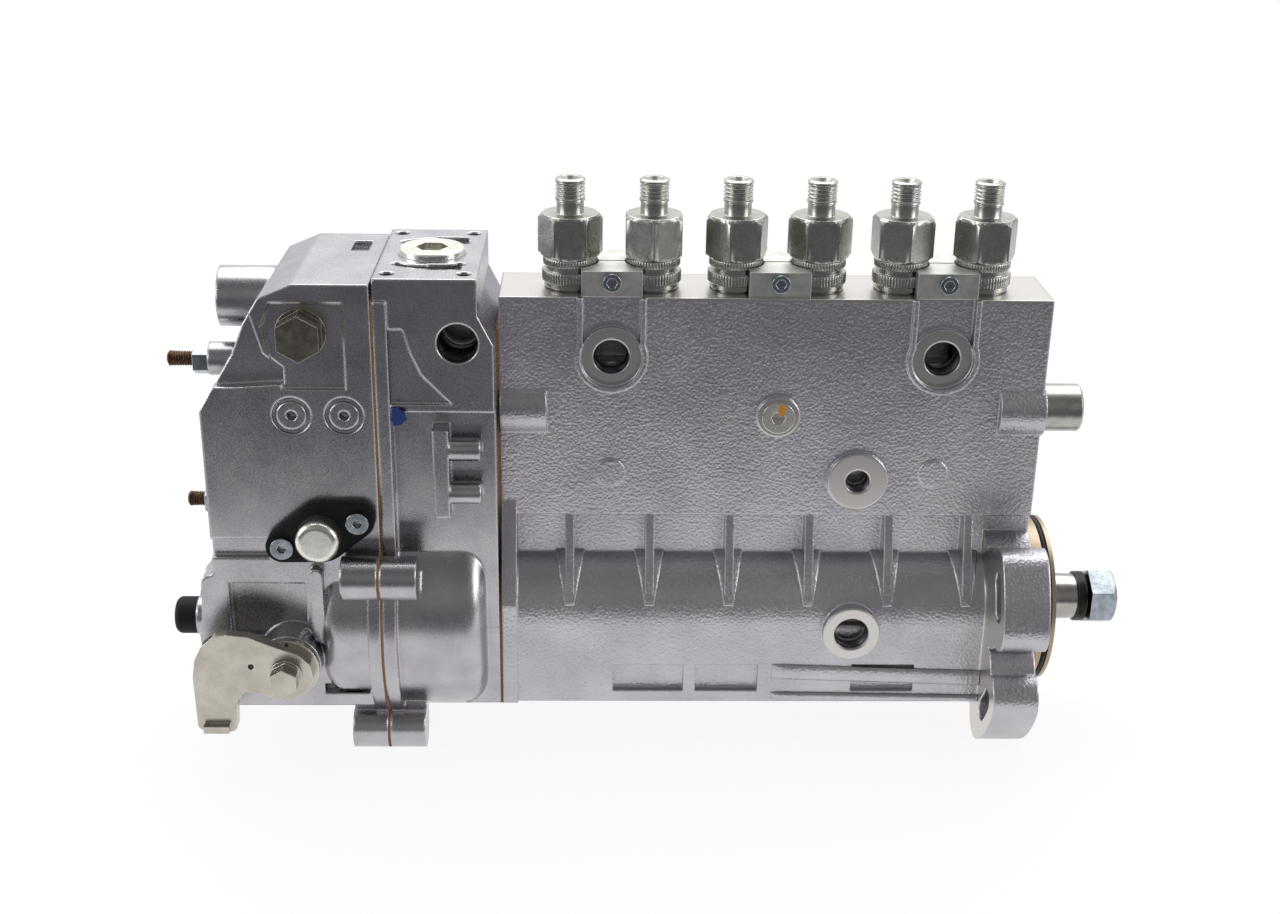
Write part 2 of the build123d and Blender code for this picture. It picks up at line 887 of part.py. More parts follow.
# Plungers, each with its control sleeve, as one turning set per element
for number, x in enumerate(element_xs, start=1):
    with BuildPart() as pumping_element:
        with BuildSketch(Plane.XY.offset(plunger_foot)):
            with Locations((x, 0)):
                Circle(plunger_radius)
        extrude(amount=plunger_top - plunger_foot)
        with BuildSketch(Plane.XY.offset(plunger_foot)):
            with Locations((x, 0)):
                Circle(plunger_disc)
        extrude(amount=plunger_disc_height)
        with BuildSketch(Plane.XY.offset(plunger_arm_foot)):
            with Locations((x, 0)):
                Rectangle(plunger_arm_length, plunger_arm_width)
        extrude(amount=plunger_arm_height)
        # Helix-edged spill groove near the plunger's top, drawn as a flat and a ring
        with BuildSketch(Plane.XY.offset(plunger_top - 2 * plunger_radius)):
            with Locations((x, 0)):
                Circle(plunger_radius)
                Circle(plunger_groove, mode=Mode.SUBTRACT)
        extrude(amount=plunger_radius, mode=Mode.SUBTRACT)
        with BuildSketch(Plane.XY.offset(sleeve_foot)):
            with Locations((x, 0)):
                Circle(sleeve_radius)
                Circle(skirt_radius + run_gap, mode=Mode.SUBTRACT)
        extrude(amount=sleeve_top - sleeve_foot)
        with BuildSketch(Plane.XY.offset(rack_height - tooth_height / 2)):
            with Locations((x, 0)):
                Circle(gear_root)
                with PolarLocations(0, gear_teeth, start_angle=-90):
                    Polygon(
                        (sleeve_radius, -tooth_root_width / 2),
                        (gear_root, -tooth_root_width / 2),
                        (gear_tip, -tooth_tip_width / 2),
                        (gear_tip, tooth_tip_width / 2),
                        (gear_root, tooth_root_width / 2),
                        (sleeve_radius, tooth_root_width / 2),
                        align=None,
                    )
                Circle(skirt_radius + run_gap, mode=Mode.SUBTRACT)
        extrude(amount=tooth_height)
    finish(pumping_element.part, f"pumping_element_{number}")

# Barrels, pressed down on their shoulders in the head
with BuildPart() as barrels:
    for foot, top, radius in (
        (skirt_foot, barrel_top, skirt_radius),
        (barrel_foot, barrel_top, barrel_radius),
    ):
        with BuildSketch(Plane.XY.offset(foot)):
            with Locations(*[(x, 0) for x in element_xs]):
                Circle(radius)
                Circle(plunger_radius + run_gap / 2, mode=Mode.SUBTRACT)
        extrude(amount=top - foot)
finish(barrels.part, "barrels")

# Delivery valves: a seat flange with a pintle standing up into the holder
with BuildPart() as delivery_valves:
    with BuildSketch(Plane.XY.offset(barrel_top)):
        with Locations(*[(x, 0) for x in element_xs]):
            Circle(valve_flange)
    extrude(amount=valve_flange_height)
    with BuildSketch(Plane.XY.offset(barrel_top + valve_flange_height)):
        with Locations(*[(x, 0) for x in element_xs]):
            Circle(valve_stem)
    extrude(amount=valve_stem_height)
finish(delivery_valves.part, "delivery_valves")

# One coil of each kind, wound on its own helix
with BuildPart() as valve_coil:
    with BuildLine():
        valve_pitch = valve_spring_length / valve_spring_turns
        valve_helix = Helix(valve_pitch, valve_spring_length, valve_spring_radius)
    with BuildSketch(Plane(origin=valve_helix @ 0, z_dir=valve_helix % 0)):
        Circle(valve_spring_wire / 2)
    sweep(is_frenet=True)

with BuildPart() as valve_springs:
    coil_foot = barrel_top + valve_flange_height + valve_spring_wire / 2
    with Locations(*[(x, 0, coil_foot) for x in element_xs]):
        add(valve_coil.part)
finish(valve_springs.part, "valve_springs")

with BuildPart() as plunger_coil:
    with BuildLine():
        plunger_helix = Helix((spring_head - spring_foot - spring_wire) / spring_turns,
                              spring_head - spring_foot - spring_wire, spring_radius)
    with BuildSketch(Plane(origin=plunger_helix @ 0, z_dir=plunger_helix % 0)):
        Circle(spring_wire / 2)
    sweep(is_frenet=True)

with BuildPart() as plunger_springs:
    with Locations(*[(x, 0, spring_foot + spring_wire / 2) for x in element_xs]):
        add(plunger_coil.part)
finish(plunger_springs.part, "plunger_springs")

# Spring seats, one ring under and one over each plunger spring
with BuildPart() as spring_seats:
    for foot in (spring_foot - seat_height, spring_head):
        with BuildSketch(Plane.XY.offset(foot)):
            with Locations(*[(x, 0) for x in element_xs]):
                Circle(seat_radius)
                Circle(plunger_radius + body_gap, mode=Mode.SUBTRACT)
        extrude(amount=seat_height)
finish(spring_seats.part, "spring_seats")

# Roller tappets, slotted below for their rollers and bored for the pins
with BuildPart() as roller_tappets:
    with BuildSketch(Plane.XY.offset(tappet_foot)):
        with Locations(*[(x, 0) for x in element_xs]):
            Circle(tappet_radius)
    extrude(amount=tappet_top - tappet_foot)
    with BuildSketch(Plane.XY.offset(tappet_foot)):
        with Locations(*[(x, 0) for x in element_xs]):
            Rectangle(tappet_slot, 2 * tappet_radius)
    extrude(amount=roller_height + roller_radius + body_gap - tappet_foot, mode=Mode.SUBTRACT)
    with BuildSketch(Plane.YZ.offset(element_xs[0] - element_pitch)):
        with Locations((0, roller_height)):
            Circle(roller_pin_radius)
    extrude(amount=(element_count + 1) * element_pitch, mode=Mode.SUBTRACT)
finish(roller_tappets.part, "roller_tappets")

# Tappet rollers with their pins, which bridge the tappet slots
with BuildPart() as tappet_rollers:
    for x in element_xs:
        with BuildSketch(Plane.YZ.offset(x - roller_width / 2)):
            with Locations((0, roller_height)):
                Circle(roller_radius)
                Circle(roller_pin_radius + run_gap, mode=Mode.SUBTRACT)
        extrude(amount=roller_width)
        with BuildSketch(Plane.YZ.offset(x - roller_pin_length / 2)):
            with Locations((0, roller_height)):
                Circle(roller_pin_radius)
        extrude(amount=roller_pin_length)
finish(tappet_rollers.part, "tappet_rollers")

# Camshaft: journals, six cams in firing order, the drive taper and the sleeve guide
with BuildPart() as camshaft:
    guide_end = shaft_guide_x
    with BuildSketch(Plane.XZ):
        with BuildLine():
            Polyline(
                (guide_end, 0),
                (guide_end, shaft_guide),
                (carrier_x - carrier_nut_height, shaft_guide),
                (carrier_x - carrier_nut_height, carrier_thread),
                (carrier_x + run_gap, carrier_thread),
                (carrier_x + run_gap, shaft_thread),
                (joint_x - overrun, shaft_thread),
                (joint_x - overrun, governor_journal),
                (joint_x + governor_bearing_width, governor_journal),
                (joint_x + governor_bearing_width, journal_shoulder),
                (joint_x + chest_start, journal_shoulder),
                (joint_x + chest_start, shaft_core),
                (drive_bearing_start - overrun, shaft_core),
                (drive_bearing_start - overrun, journal_shoulder),
                (drive_bearing_start, journal_shoulder),
                (drive_bearing_start, drive_journal),
                (taper_start, drive_journal),
                (taper_end, taper_tip),
                (taper_end, shaft_thread),
                (shaft_tip_x, shaft_thread),
                (shaft_tip_x, 0),
                close=True,
            )
        make_face()
    revolve(axis=Axis.X)
    for order, index in enumerate(firing_order):
        turn = math.radians(90 + order * 360 / element_count)
        nose_reach = cam_base + cam_lift - cam_nose
        with BuildSketch(Plane.YZ.offset(element_xs[index] - cam_width / 2)):
            with BuildLine():
                CenterArc((0, 0), cam_base, 0, 360)
                CenterArc((nose_reach * math.cos(turn), nose_reach * math.sin(turn)), cam_nose, 0, 360)
            make_hull()
        extrude(amount=cam_width)
    with BuildSketch(Plane.XZ.offset(-taper_tip + key_height / 2)):
        with Locations(((taper_start + taper_end) / 2, 0)):
            SlotOverall(key_length, key_width)
    extrude(amount=-drive_journal, mode=Mode.SUBTRACT)
finish(camshaft.part, "camshaft")

# Camshaft bearings: fixed outer rings, turning inner rings and their rollers
bearings = (
    (drive_bearing_start, drive_bearing_width, drive_journal, drive_bearing_outer),
    (joint_x, governor_bearing_width, governor_journal, governor_bearing_outer),
)
with BuildPart() as bearing_outer_rings:
    for start, width, bore, outer in bearings:
        with BuildSketch(Plane.YZ.offset(start)):
            Circle(outer)
            Circle(outer - bearing_ring_share * (outer - bore), mode=Mode.SUBTRACT)
        extrude(amount=width)
finish(bearing_outer_rings.part, "bearing_outer_rings")

with BuildPart() as bearing_inner_rings:
    for start, width, bore, outer in bearings:
        with BuildSketch(Plane.YZ.offset(start)):
            Circle(bore + bearing_ring_share * (outer - bore))
            Circle(bore, mode=Mode.SUBTRACT)
        extrude(amount=width)
finish(bearing_inner_rings.part, "bearing_inner_rings")

with BuildPart() as bearing_rollers:
    for start, width, bore, outer in bearings:
        race = (outer - bore) * (1 - 2 * bearing_ring_share)
        with BuildSketch(Plane.YZ.offset(start + overrun)):
            with PolarLocations((bore + outer) / 2, bearing_rollers_count):
                Circle(race / 2 - run_gap)
        extrude(amount=width - 2 * overrun)
finish(bearing_rollers.part, "bearing_rollers")

# Drive end cover: the pilot that centres the pump in the engine, and the bearing's seat
with BuildPart() as drive_end_cover:
    with BuildSketch(Plane.YZ.offset(-seat_sink)):
        Circle(pilot_radius - body_gap)
    extrude(amount=seat_sink)
    with BuildSketch(Plane.YZ):
        Circle(pilot_radius)
    extrude(amount=pilot_length)
    with BuildSketch(Plane.YZ):
        Circle(drive_bore - run_gap)
    extrude(amount=-spigot_length)
    with BuildSketch(Plane.YZ.offset(drive_bearing_start)):
        Circle(drive_bearing_outer)
    extrude(amount=drive_bearing_width, mode=Mode.SUBTRACT)
    with BuildSketch(Plane.YZ.offset(pilot_length)):
        Circle(seal_outer)
    extrude(amount=-seal_width, mode=Mode.SUBTRACT)
    with BuildSketch(Plane.YZ.offset(drive_bearing_start)):
        Circle(drive_journal + body_gap)
    extrude(amount=spigot_length + pilot_length + overrun, mode=Mode.SUBTRACT)
    with BuildSketch(Plane.YZ.offset(o_ring_x - o_ring_section)):
        Circle(pilot_radius + overrun)
        Circle(o_ring_reach - 2 * o_ring_section, mode=Mode.SUBTRACT)
    extrude(amount=2 * o_ring_section, mode=Mode.SUBTRACT)
    with BuildSketch(Plane.YZ.offset(-overrun)):
        with PolarLocations(cover_screw_circle, cover_screw_count, start_angle=cover_screw_angle):
            Circle(cover_screw_radius + thread_gap)
    extrude(amount=pilot_length + 2 * overrun, mode=Mode.SUBTRACT)
    with BuildSketch(Plane.YZ.offset(pilot_length)):
        with PolarLocations(cover_screw_circle, cover_screw_count, start_angle=cover_screw_angle):
            Circle(cover_screw_head)
    extrude(amount=-cover_screw_head, mode=Mode.SUBTRACT)
finish(drive_end_cover.part, "drive_end_cover")

with BuildPart() as drive_cover_screws:
    with BuildSketch(Plane.YZ.offset(pilot_length - cover_screw_head)):
        with PolarLocations(cover_screw_circle, cover_screw_count, start_angle=cover_screw_angle):
            Circle(cover_screw_head - thread_gap)
    extrude(amount=cover_screw_head_height)
    with BuildSketch(Plane.YZ.offset(pilot_length - cover_screw_length)):
        with PolarLocations(cover_screw_circle, cover_screw_count, start_angle=cover_screw_angle):
            Circle(cover_screw_radius)
    extrude(amount=cover_screw_length - cover_screw_head)
    with BuildSketch(Plane.YZ.offset(pilot_length)):
        with PolarLocations(cover_screw_circle, cover_screw_count, start_angle=cover_screw_angle):
            RegularPolygon(cover_screw_socket, 6, major_radius=False)
    extrude(amount=-cover_screw_head / 2, mode=Mode.SUBTRACT)
finish(drive_cover_screws.part, "drive_cover_screws")

with BuildPart() as pilot_o_ring:
    with BuildSketch(Plane.XZ):
        with Locations((o_ring_x, o_ring_reach - o_ring_section)):
            Circle(o_ring_section)
    revolve(axis=Axis.X)
finish(pilot_o_ring.part, "pilot_o_ring")

# Lip seal round the shaft
with BuildPart() as shaft_seal:
    with BuildSketch(Plane.YZ.offset(pilot_length - seal_width)):
        Circle(seal_outer)
        Circle(drive_journal + run_gap, mode=Mode.SUBTRACT)
    extrude(amount=seal_width)
    with BuildSketch(Plane.YZ.offset(pilot_length)):
        Circle(seal_groove_outer)
        Circle(seal_groove_inner, mode=Mode.SUBTRACT)
    extrude(amount=-seal_width / 2, mode=Mode.SUBTRACT)
finish(shaft_seal.part, "shaft_seal")

# Woodruff key on the taper
with BuildPart() as woodruff_key:
    with BuildSketch(Plane.XZ.offset(-taper_tip + key_height / 2)):
        with Locations(((taper_start + taper_end) / 2, 0)):
            SlotOverall(key_length, key_width)
    extrude(amount=-key_height)
finish(woodruff_key.part, "woodruff_key")

# Split lock washer and the shaft nut
with BuildPart() as lock_washer:
    with BuildSketch(Plane.YZ.offset(taper_end)):
        Circle(washer_radius)
        Circle(washer_bore, mode=Mode.SUBTRACT)
    extrude(amount=washer_thickness)
    face_edges = lock_washer.edges().filter_by(GeomType.CIRCLE).group_by(Axis.X)[-1]
    chamfer(face_edges.sort_by(SortBy.RADIUS)[-1:], washer_chamfer)
finish(lock_washer.part, "lock_washer")

with BuildPart() as shaft_nut:
    nut_start = taper_end + washer_thickness
    nut_end = nut_start + nut_height
    nut_corner = nut_flats / math.sqrt(3)
    with BuildSketch(Plane.YZ.offset(nut_start)):
        RegularPolygon(nut_flats / 2, 6, major_radius=False, rotation=30)
    extrude(amount=nut_height)
    with BuildSketch(Plane.XZ):
        with BuildLine():
            Polyline(
                (nut_start, 0),
                (nut_start, nut_corner),
                (nut_end - (nut_corner - nut_flats / 2), nut_corner),
                (nut_end, nut_flats / 2 - thread_gap),
                (nut_end, 0),
                close=True,
            )
        make_face()
    revolve(axis=Axis.X, mode=Mode.INTERSECT)
    with BuildSketch(Plane.YZ.offset(nut_start)):
        Circle(shaft_thread + thread_gap)
    extrude(amount=nut_height, mode=Mode.SUBTRACT)
finish(shaft_nut.part, "shaft_nut")

# One delivery valve holder: thread, two knurled collars, hexagon and union thread
with BuildPart() as holder_blank:
    hex_corner = hex_flats / math.sqrt(3)
    hex_slope = hex_corner - holder_upper_collar
    with BuildSketch(Plane.XY.offset(head_top + upper_knurl_top)):
        RegularPolygon(hex_flats / 2, 6, major_radius=False)
    extrude(amount=hex_top_height - upper_knurl_top)
    with BuildSketch(Plane.XZ):
        with BuildLine():
            Polyline(
                (0, head_top + upper_knurl_top),
                (holder_upper_collar, head_top + upper_knurl_top),
                (hex_corner, head_top + hex_foot_height),
                (hex_corner, head_top + hex_top_height - hex_slope),
                (hex_flats / 2 - thread_gap, head_top + hex_top_height),
                (0, head_top + hex_top_height),
                close=True,
            )
        make_face()
    revolve(axis=Axis.Z, mode=Mode.INTERSECT)
    with BuildSketch(Plane.XZ):
        with BuildLine():
            Polyline(
                (0, barrel_top + valve_flange_height),
                (holder_thread, barrel_top + valve_flange_height),
                (holder_thread, head_top + holder_foot_height),
                (holder_upper_collar, head_top + holder_foot_height),
                (holder_upper_collar, head_top + lower_knurl_foot),
                (holder_collar, head_top + lower_knurl_foot),
                (holder_collar, head_top + lower_knurl_top),
                (holder_groove, head_top + lower_knurl_top),
                (holder_groove, head_top + upper_knurl_foot),
                (holder_upper_collar, head_top + upper_knurl_foot),
                (holder_upper_collar, head_top + upper_knurl_top + thread_gap),
                (0, head_top + upper_knurl_top + thread_gap),
                close=True,
            )
        make_face()
    revolve(axis=Axis.Z)
    with BuildSketch(Plane.XZ):
        with BuildLine():
            Polyline(
                (0, head_top + hex_top_height - thread_gap),
                (holder_neck, head_top + hex_top_height - thread_gap),
                (holder_neck, head_top + union_foot_height),
                (union_thread, head_top + union_foot_height),
                (union_thread, head_top + union_top_height - union_chamfer),
                (union_thread - union_chamfer, head_top + union_top_height),
                (0, head_top + union_top_height),
                close=True,
            )
        make_face()
    revolve(axis=Axis.Z)
    with BuildSketch(Plane.XZ):
        with BuildLine():
            Polyline(
                (0, barrel_top),
                (holder_bore, barrel_top),
                (holder_bore, head_top + holder_bore_height),
                (union_bore, head_top + holder_bore_height + holder_bore),
                (union_bore, head_top + union_top_height - union_cone),
                (union_cone, head_top + union_top_height),
                (union_cone, head_top + union_top_height + overrun),
                (0, head_top + union_top_height + overrun),
                close=True,
            )
        make_face()
    revolve(axis=Axis.Z, mode=Mode.SUBTRACT)

with BuildPart() as delivery_valve_holders:
    hex_sector = 360 / 6
    hex_turns = [(0, 0, hex_sector * share) for share in hex_turn_shares]
    with Locations(*[Location((x, 0, 0), turn) for x, turn in zip(element_xs, hex_turns)]):
        add(holder_blank.part)
finish(delivery_valve_holders.part, "delivery_valve_holders")

# Clamp jaws, a front and a back half for each pair of holders, and their screws
with BuildPart() as clamp_jaws:
    for x in clamp_xs:
        with BuildSketch(Plane.XY.offset(head_top)):
            with Locations((x, 0)):
                Rectangle(clamp_width, 2 * clamp_front)
                Rectangle(clamp_width, clamp_split, mode=Mode.SUBTRACT)
            with Locations((x - element_pitch / 2, 0), (x + element_pitch / 2, 0)):
                Circle(holder_collar + thread_gap, mode=Mode.SUBTRACT)
        extrude(amount=clamp_height)
        with BuildSketch(Plane.XZ.offset(clamp_front)):
            with Locations((x, head_top + clamp_screw_height)):
                Circle(clamp_screw_shank + thread_gap)
        extrude(amount=-2 * clamp_front, mode=Mode.SUBTRACT)
finish(clamp_jaws.part, "clamp_jaws")

with BuildPart() as clamp_screws:
    for x in clamp_xs:
        with BuildSketch(Plane.XZ.offset(clamp_front)):
            with Locations((x, head_top + clamp_screw_height)):
                Circle(clamp_screw_radius)
        extrude(amount=clamp_screw_head)
        with BuildSketch(Plane.XZ.offset(clamp_front)):
            with Locations((x, head_top + clamp_screw_height)):
                Circle(clamp_screw_shank)
        extrude(amount=-2 * clamp_front + overrun)
        with BuildSketch(Plane.XZ.offset(clamp_front + clamp_screw_head)):
            with Locations((x, head_top + clamp_screw_height)):
                RegularPolygon(clamp_socket / 2, 6, major_radius=False)
        extrude(amount=-clamp_screw_head, mode=Mode.SUBTRACT)
finish(clamp_screws.part, "clamp_screws")

# Screw plug over the rack's setting hole
with BuildPart() as gallery_plug:
    plug_end = -(rack_offset + rack_radius + body_gap)
    with BuildSketch(Plane.XZ.offset(-plug_end)):
        with Locations((plug_x, plug_height)):
            Circle(plug_radius)
    extrude(amount=head_front + plug_raise + plug_end)
    with BuildSketch(Plane.XZ.offset(head_front + plug_raise)):
        with Locations((plug_x, plug_height)):
            Circle(plug_head)
    extrude(amount=plug_head_height)
    with BuildSketch(Plane.XZ.offset(head_front + plug_raise + plug_head_height)):
        with Locations((plug_x, plug_height)):
            RegularPolygon(plug_socket / 2, 6, major_radius=False)
    extrude(amount=-(plug_head_height + plug_raise), mode=Mode.SUBTRACT)
finish(gallery_plug.part, "gallery_plug")

# Closed cap that guides and covers the rack's drive end
with BuildPart() as rack_guide_cap:
    with BuildSketch(Plane.YZ):
        with Locations((-rack_offset, rack_height)):
            Circle(rack_cap_radius)
    extrude(amount=rack_cap_length)
    chamfer(rack_guide_cap.edges().filter_by(GeomType.CIRCLE).group_by(Axis.X)[-1], rack_cap_wall / 2)
    with BuildSketch(Plane.YZ):
        with Locations((-rack_offset, rack_height)):
            Circle(rack_cap_stub)
    extrude(amount=-rack_cap_stub_length)
    with BuildSketch(Plane.YZ.offset(-rack_cap_stub_length)):
        with Locations((-rack_offset, rack_height)):
            Circle(rack_radius + body_gap)
    extrude(amount=rack_cap_stub_length + rack_cap_length - rack_cap_wall, mode=Mode.SUBTRACT)
finish(rack_guide_cap.part, "rack_guide_cap")

# Base cover let into the sole, and its screws
with BuildPart() as base_cover:
    with BuildSketch(Plane.XY.offset(-sole_drop)):
        with Locations((joint_x / 2, 0)):
            Rectangle(base_length, 2 * (base_cover_half - thread_gap))
            with GridLocations(sole_screw_pitch, sole_screw_span_y, base_screw_count, 2):
                Circle(base_screw_shank + thread_gap, mode=Mode.SUBTRACT)
    extrude(amount=base_cover_thickness)
finish(base_cover.part, "base_cover")

with BuildPart() as base_cover_screws:
    with BuildSketch(Plane.XY.offset(-sole_drop)):
        with Locations((joint_x / 2, 0)):
            with GridLocations(sole_screw_pitch, sole_screw_span_y, base_screw_count, 2):
                RegularPolygon(base_screw_head, 6)
    extrude(amount=-base_screw_head_height)
    with BuildSketch(Plane.XY.offset(-sole_drop)):
        with Locations((joint_x / 2, 0)):
            with GridLocations(sole_screw_pitch, sole_screw_span_y, base_screw_count, 2):
                Circle(base_screw_shank)
    extrude(amount=base_cover_thickness + base_screw_length)
finish(base_cover_screws.part, "base_cover_screws")

# Governor housing: die-cast aluminium, a round flyweight chamber under a tall lever chamber
with BuildPart() as governor_housing:
    with BuildSketch(Plane.YZ.offset(governor_x - end_plate_thickness)):
        Circle(dome_radius)
    extrude(amount=end_plate_thickness - governor_depth)
    fillet(governor_housing.edges().sort_by(Axis.X)[-1], dome_round)
    with BuildSketch(Plane.YZ.offset(governor_x)):
        Circle(end_plate_half)
        with Locations((0, -sole_drop / 2)):
            Rectangle(2 * end_plate_half, sole_drop)
    extrude(amount=-(end_plate_thickness + dome_round))
    with BuildSketch(Plane.YZ.offset(governor_x)):
        with Locations((0, body_height / 2)):
            Rectangle(2 * body_half, body_height)
    extrude(amount=-governor_depth)
    with BuildSketch(Plane.XZ.offset(block_front)):
        with BuildLine():
            Polyline(
                (cover_joint_x, block_foot),
                (governor_x, block_foot),
                (governor_x, block_bevel_height),
                (governor_x - block_right_inset, block_bevel_height + 2 * block_right_inset),
                (governor_x - block_right_inset, block_height),
                (cover_joint_x, block_height),
                close=True,
            )
        make_face()
    extrude(amount=-(block_front + block_back))
    # Rim and bolt lugs at the cover's joint
    with BuildSketch(Plane.YZ.offset(cover_joint_x)):
        Circle(joint_rim_radius)
        with Locations((0, joint_rim_height / 2)):
            Rectangle(2 * joint_rim_half, joint_rim_height)
    extrude(amount=joint_rim)
    with BuildSketch(Plane.YZ.offset(cover_joint_x)):
        for lug_y, lug_z in wall_lug_positions:
            with Locations((lug_y, lug_z)):
                Circle(lug_radius)
            with Locations(Location((0, 0, 0), (0, 0, math.degrees(math.atan2(lug_z, lug_y))))):
                Rectangle(math.hypot(lug_y, lug_z), lug_radius, align=(Align.MIN, Align.CENTER))
    extrude(amount=lug_length)
    # Throttle bracket lugs on the front of the lever chamber
    with BuildSketch(Plane.YZ.offset(bracket_x - bracket_width / 2)):
        with Locations((-body_half, (bracket_foot + bracket_top) / 2)):
            Rectangle(2 * bracket_reach, bracket_top - bracket_foot)
    extrude(amount=bracket_width)
    for boss_z in (bracket_foot + bracket_reach, bracket_top - bracket_reach):
        with BuildSketch(Plane.YZ.offset(bracket_x)):
            with Locations((-body_half - bracket_reach / 2, boss_z)):
                Circle(bracket_reach / 2)
        extrude(amount=bracket_width + bracket_reach)
    # Flat recess on the block's front
    with BuildSketch(Plane.XZ.offset(block_front)):
        Polygon(*front_recess, align=None)
    extrude(amount=-front_recess_depth, mode=Mode.SUBTRACT)
    # Flyweight chamber, lever chamber, shaft and rack passages
    with BuildSketch(Plane.YZ.offset(cover_joint_x)):
        Circle(dome_bore)
    extrude(amount=dome_bore_depth, mode=Mode.SUBTRACT)
    with BuildSketch(Plane.YZ.offset(cover_joint_x)):
        Circle(weight_bore)
    extrude(amount=governor_depth - weight_bore_wall, mode=Mode.SUBTRACT)
    with BuildSketch(Plane.YZ.offset(cover_joint_x)):
        Circle(shaft_passage)
    extrude(amount=governor_depth, mode=Mode.SUBTRACT)
    with BuildSketch(Plane.YZ.offset(cover_joint_x)):
        with Locations((0, (governor_cavity_floor + governor_cavity_roof) / 2)):
            Rectangle(2 * governor_cavity_half, governor_cavity_roof - governor_cavity_floor)
    extrude(amount=governor_depth - governor_wall, mode=Mode.SUBTRACT)
    with BuildSketch(Plane.YZ.offset(governor_x)):
        with Locations((-rack_offset, rack_height)):
            Circle(rack_passage)
    extrude(amount=-governor_depth, mode=Mode.SUBTRACT)
    # Cover bolt threads
    with BuildSketch(Plane.YZ.offset(cover_joint_x)):
        with Locations(*wall_lug_positions):
            Circle(bolt_shank + thread_gap)
    extrude(amount=bolt_thread_depth, mode=Mode.SUBTRACT)
    # Front port, mounting pad holes, plug bore and the pad's weight-saving pockets
    with BuildSketch(Plane.XZ.offset(block_front)):
        with Locations((governor_port_x, governor_port_height)):
            Circle(governor_port_bore)
    extrude(amount=-governor_port_depth, mode=Mode.SUBTRACT)
    with BuildSketch(Plane.XY.offset(block_height)):
        with Locations((pad_centre_x, 0)):
            with GridLocations(pad_spacing_x, pad_spacing_y, 2, 2):
                Circle(pad_hole_radius)
    extrude(amount=-pad_hole_depth, mode=Mode.SUBTRACT)
    with BuildSketch(Plane.XY.offset(block_height)):
        with Locations((pad_centre_x, 0)):
            Circle(pad_plug_flange + body_gap)
    extrude(amount=-seat_sink, mode=Mode.SUBTRACT)
    with BuildSketch(Plane.XY.offset(block_height)):
        with Locations((pad_centre_x, 0)):
            Circle(pad_plug_stub + thread_gap)
    extrude(amount=-(pad_plug_depth + overrun), mode=Mode.SUBTRACT)
    with BuildSketch(Plane.XY.offset(block_height)):
        with Locations((pad_centre_x, 0)):
            Circle(pad_plug_channel)
    extrude(amount=governor_cavity_roof - block_height - overrun, mode=Mode.SUBTRACT)
    with BuildSketch(Plane.XY.offset(block_height)):
        for middle in (90, -90):
            first = middle - pad_pocket_sweep / 2
            with BuildLine():
                for arc in slot_arcs(
                    (pad_centre_x, 0), pad_pocket_radius, pad_pocket_width, first, pad_pocket_sweep
                ):
                    CenterArc(*arc)
            make_face()
        with Locations((governor_x - block_right_inset - pad_pocket_box_x, -pad_pocket_radius)):
            Rectangle(pad_pocket_box_x, pad_pocket_box_y)
        with Locations((governor_x - block_right_inset - pad_pocket_box_x, pad_pocket_radius)):
            Rectangle(pad_pocket_box_x, pad_pocket_box_y)
    extrude(amount=-pad_pocket_depth, mode=Mode.SUBTRACT)
finish(governor_housing.part, "governor_housing")

# Gasket between the pump housing and the governor
with BuildPart() as governor_gasket:
    with BuildSketch(Plane.YZ.offset(governor_x)):
        with Locations(((head_back - head_front) / 2, block_bevel_height / 2)):
            Rectangle(head_front + head_back, block_bevel_height)
        Circle(end_plate_half)
        with Locations((0, -sole_drop / 2)):
            Rectangle(2 * end_plate_half, sole_drop)
        with Locations((-rack_offset, rack_height)):
            Circle(rack_passage, mode=Mode.SUBTRACT)
        Circle(shaft_passage, mode=Mode.SUBTRACT)
    extrude(amount=gasket_thickness)
finish(governor_gasket.part, "governor_gasket")

# Gasket between the governor housing and its cover
with BuildPart() as cover_gasket:
    with BuildSketch(Plane.YZ.offset(cover_x)):
        Circle(joint_rim_radius)
        with Locations((0, joint_rim_height / 2)):
            Rectangle(2 * joint_rim_half, joint_rim_height)
        with Locations(*wall_lug_positions):
            Circle(lug_radius)
            Circle(bolt_shank + thread_gap, mode=Mode.SUBTRACT)
        Circle(dome_bore, mode=Mode.SUBTRACT)
        with Locations((0, (governor_cavity_floor + governor_cavity_roof) / 2)):
            cavity_height = governor_cavity_roof - governor_cavity_floor
            Rectangle(2 * governor_cavity_half, cavity_height, mode=Mode.SUBTRACT)
    extrude(amount=gasket_thickness)
finish(cover_gasket.part, "cover_gasket")

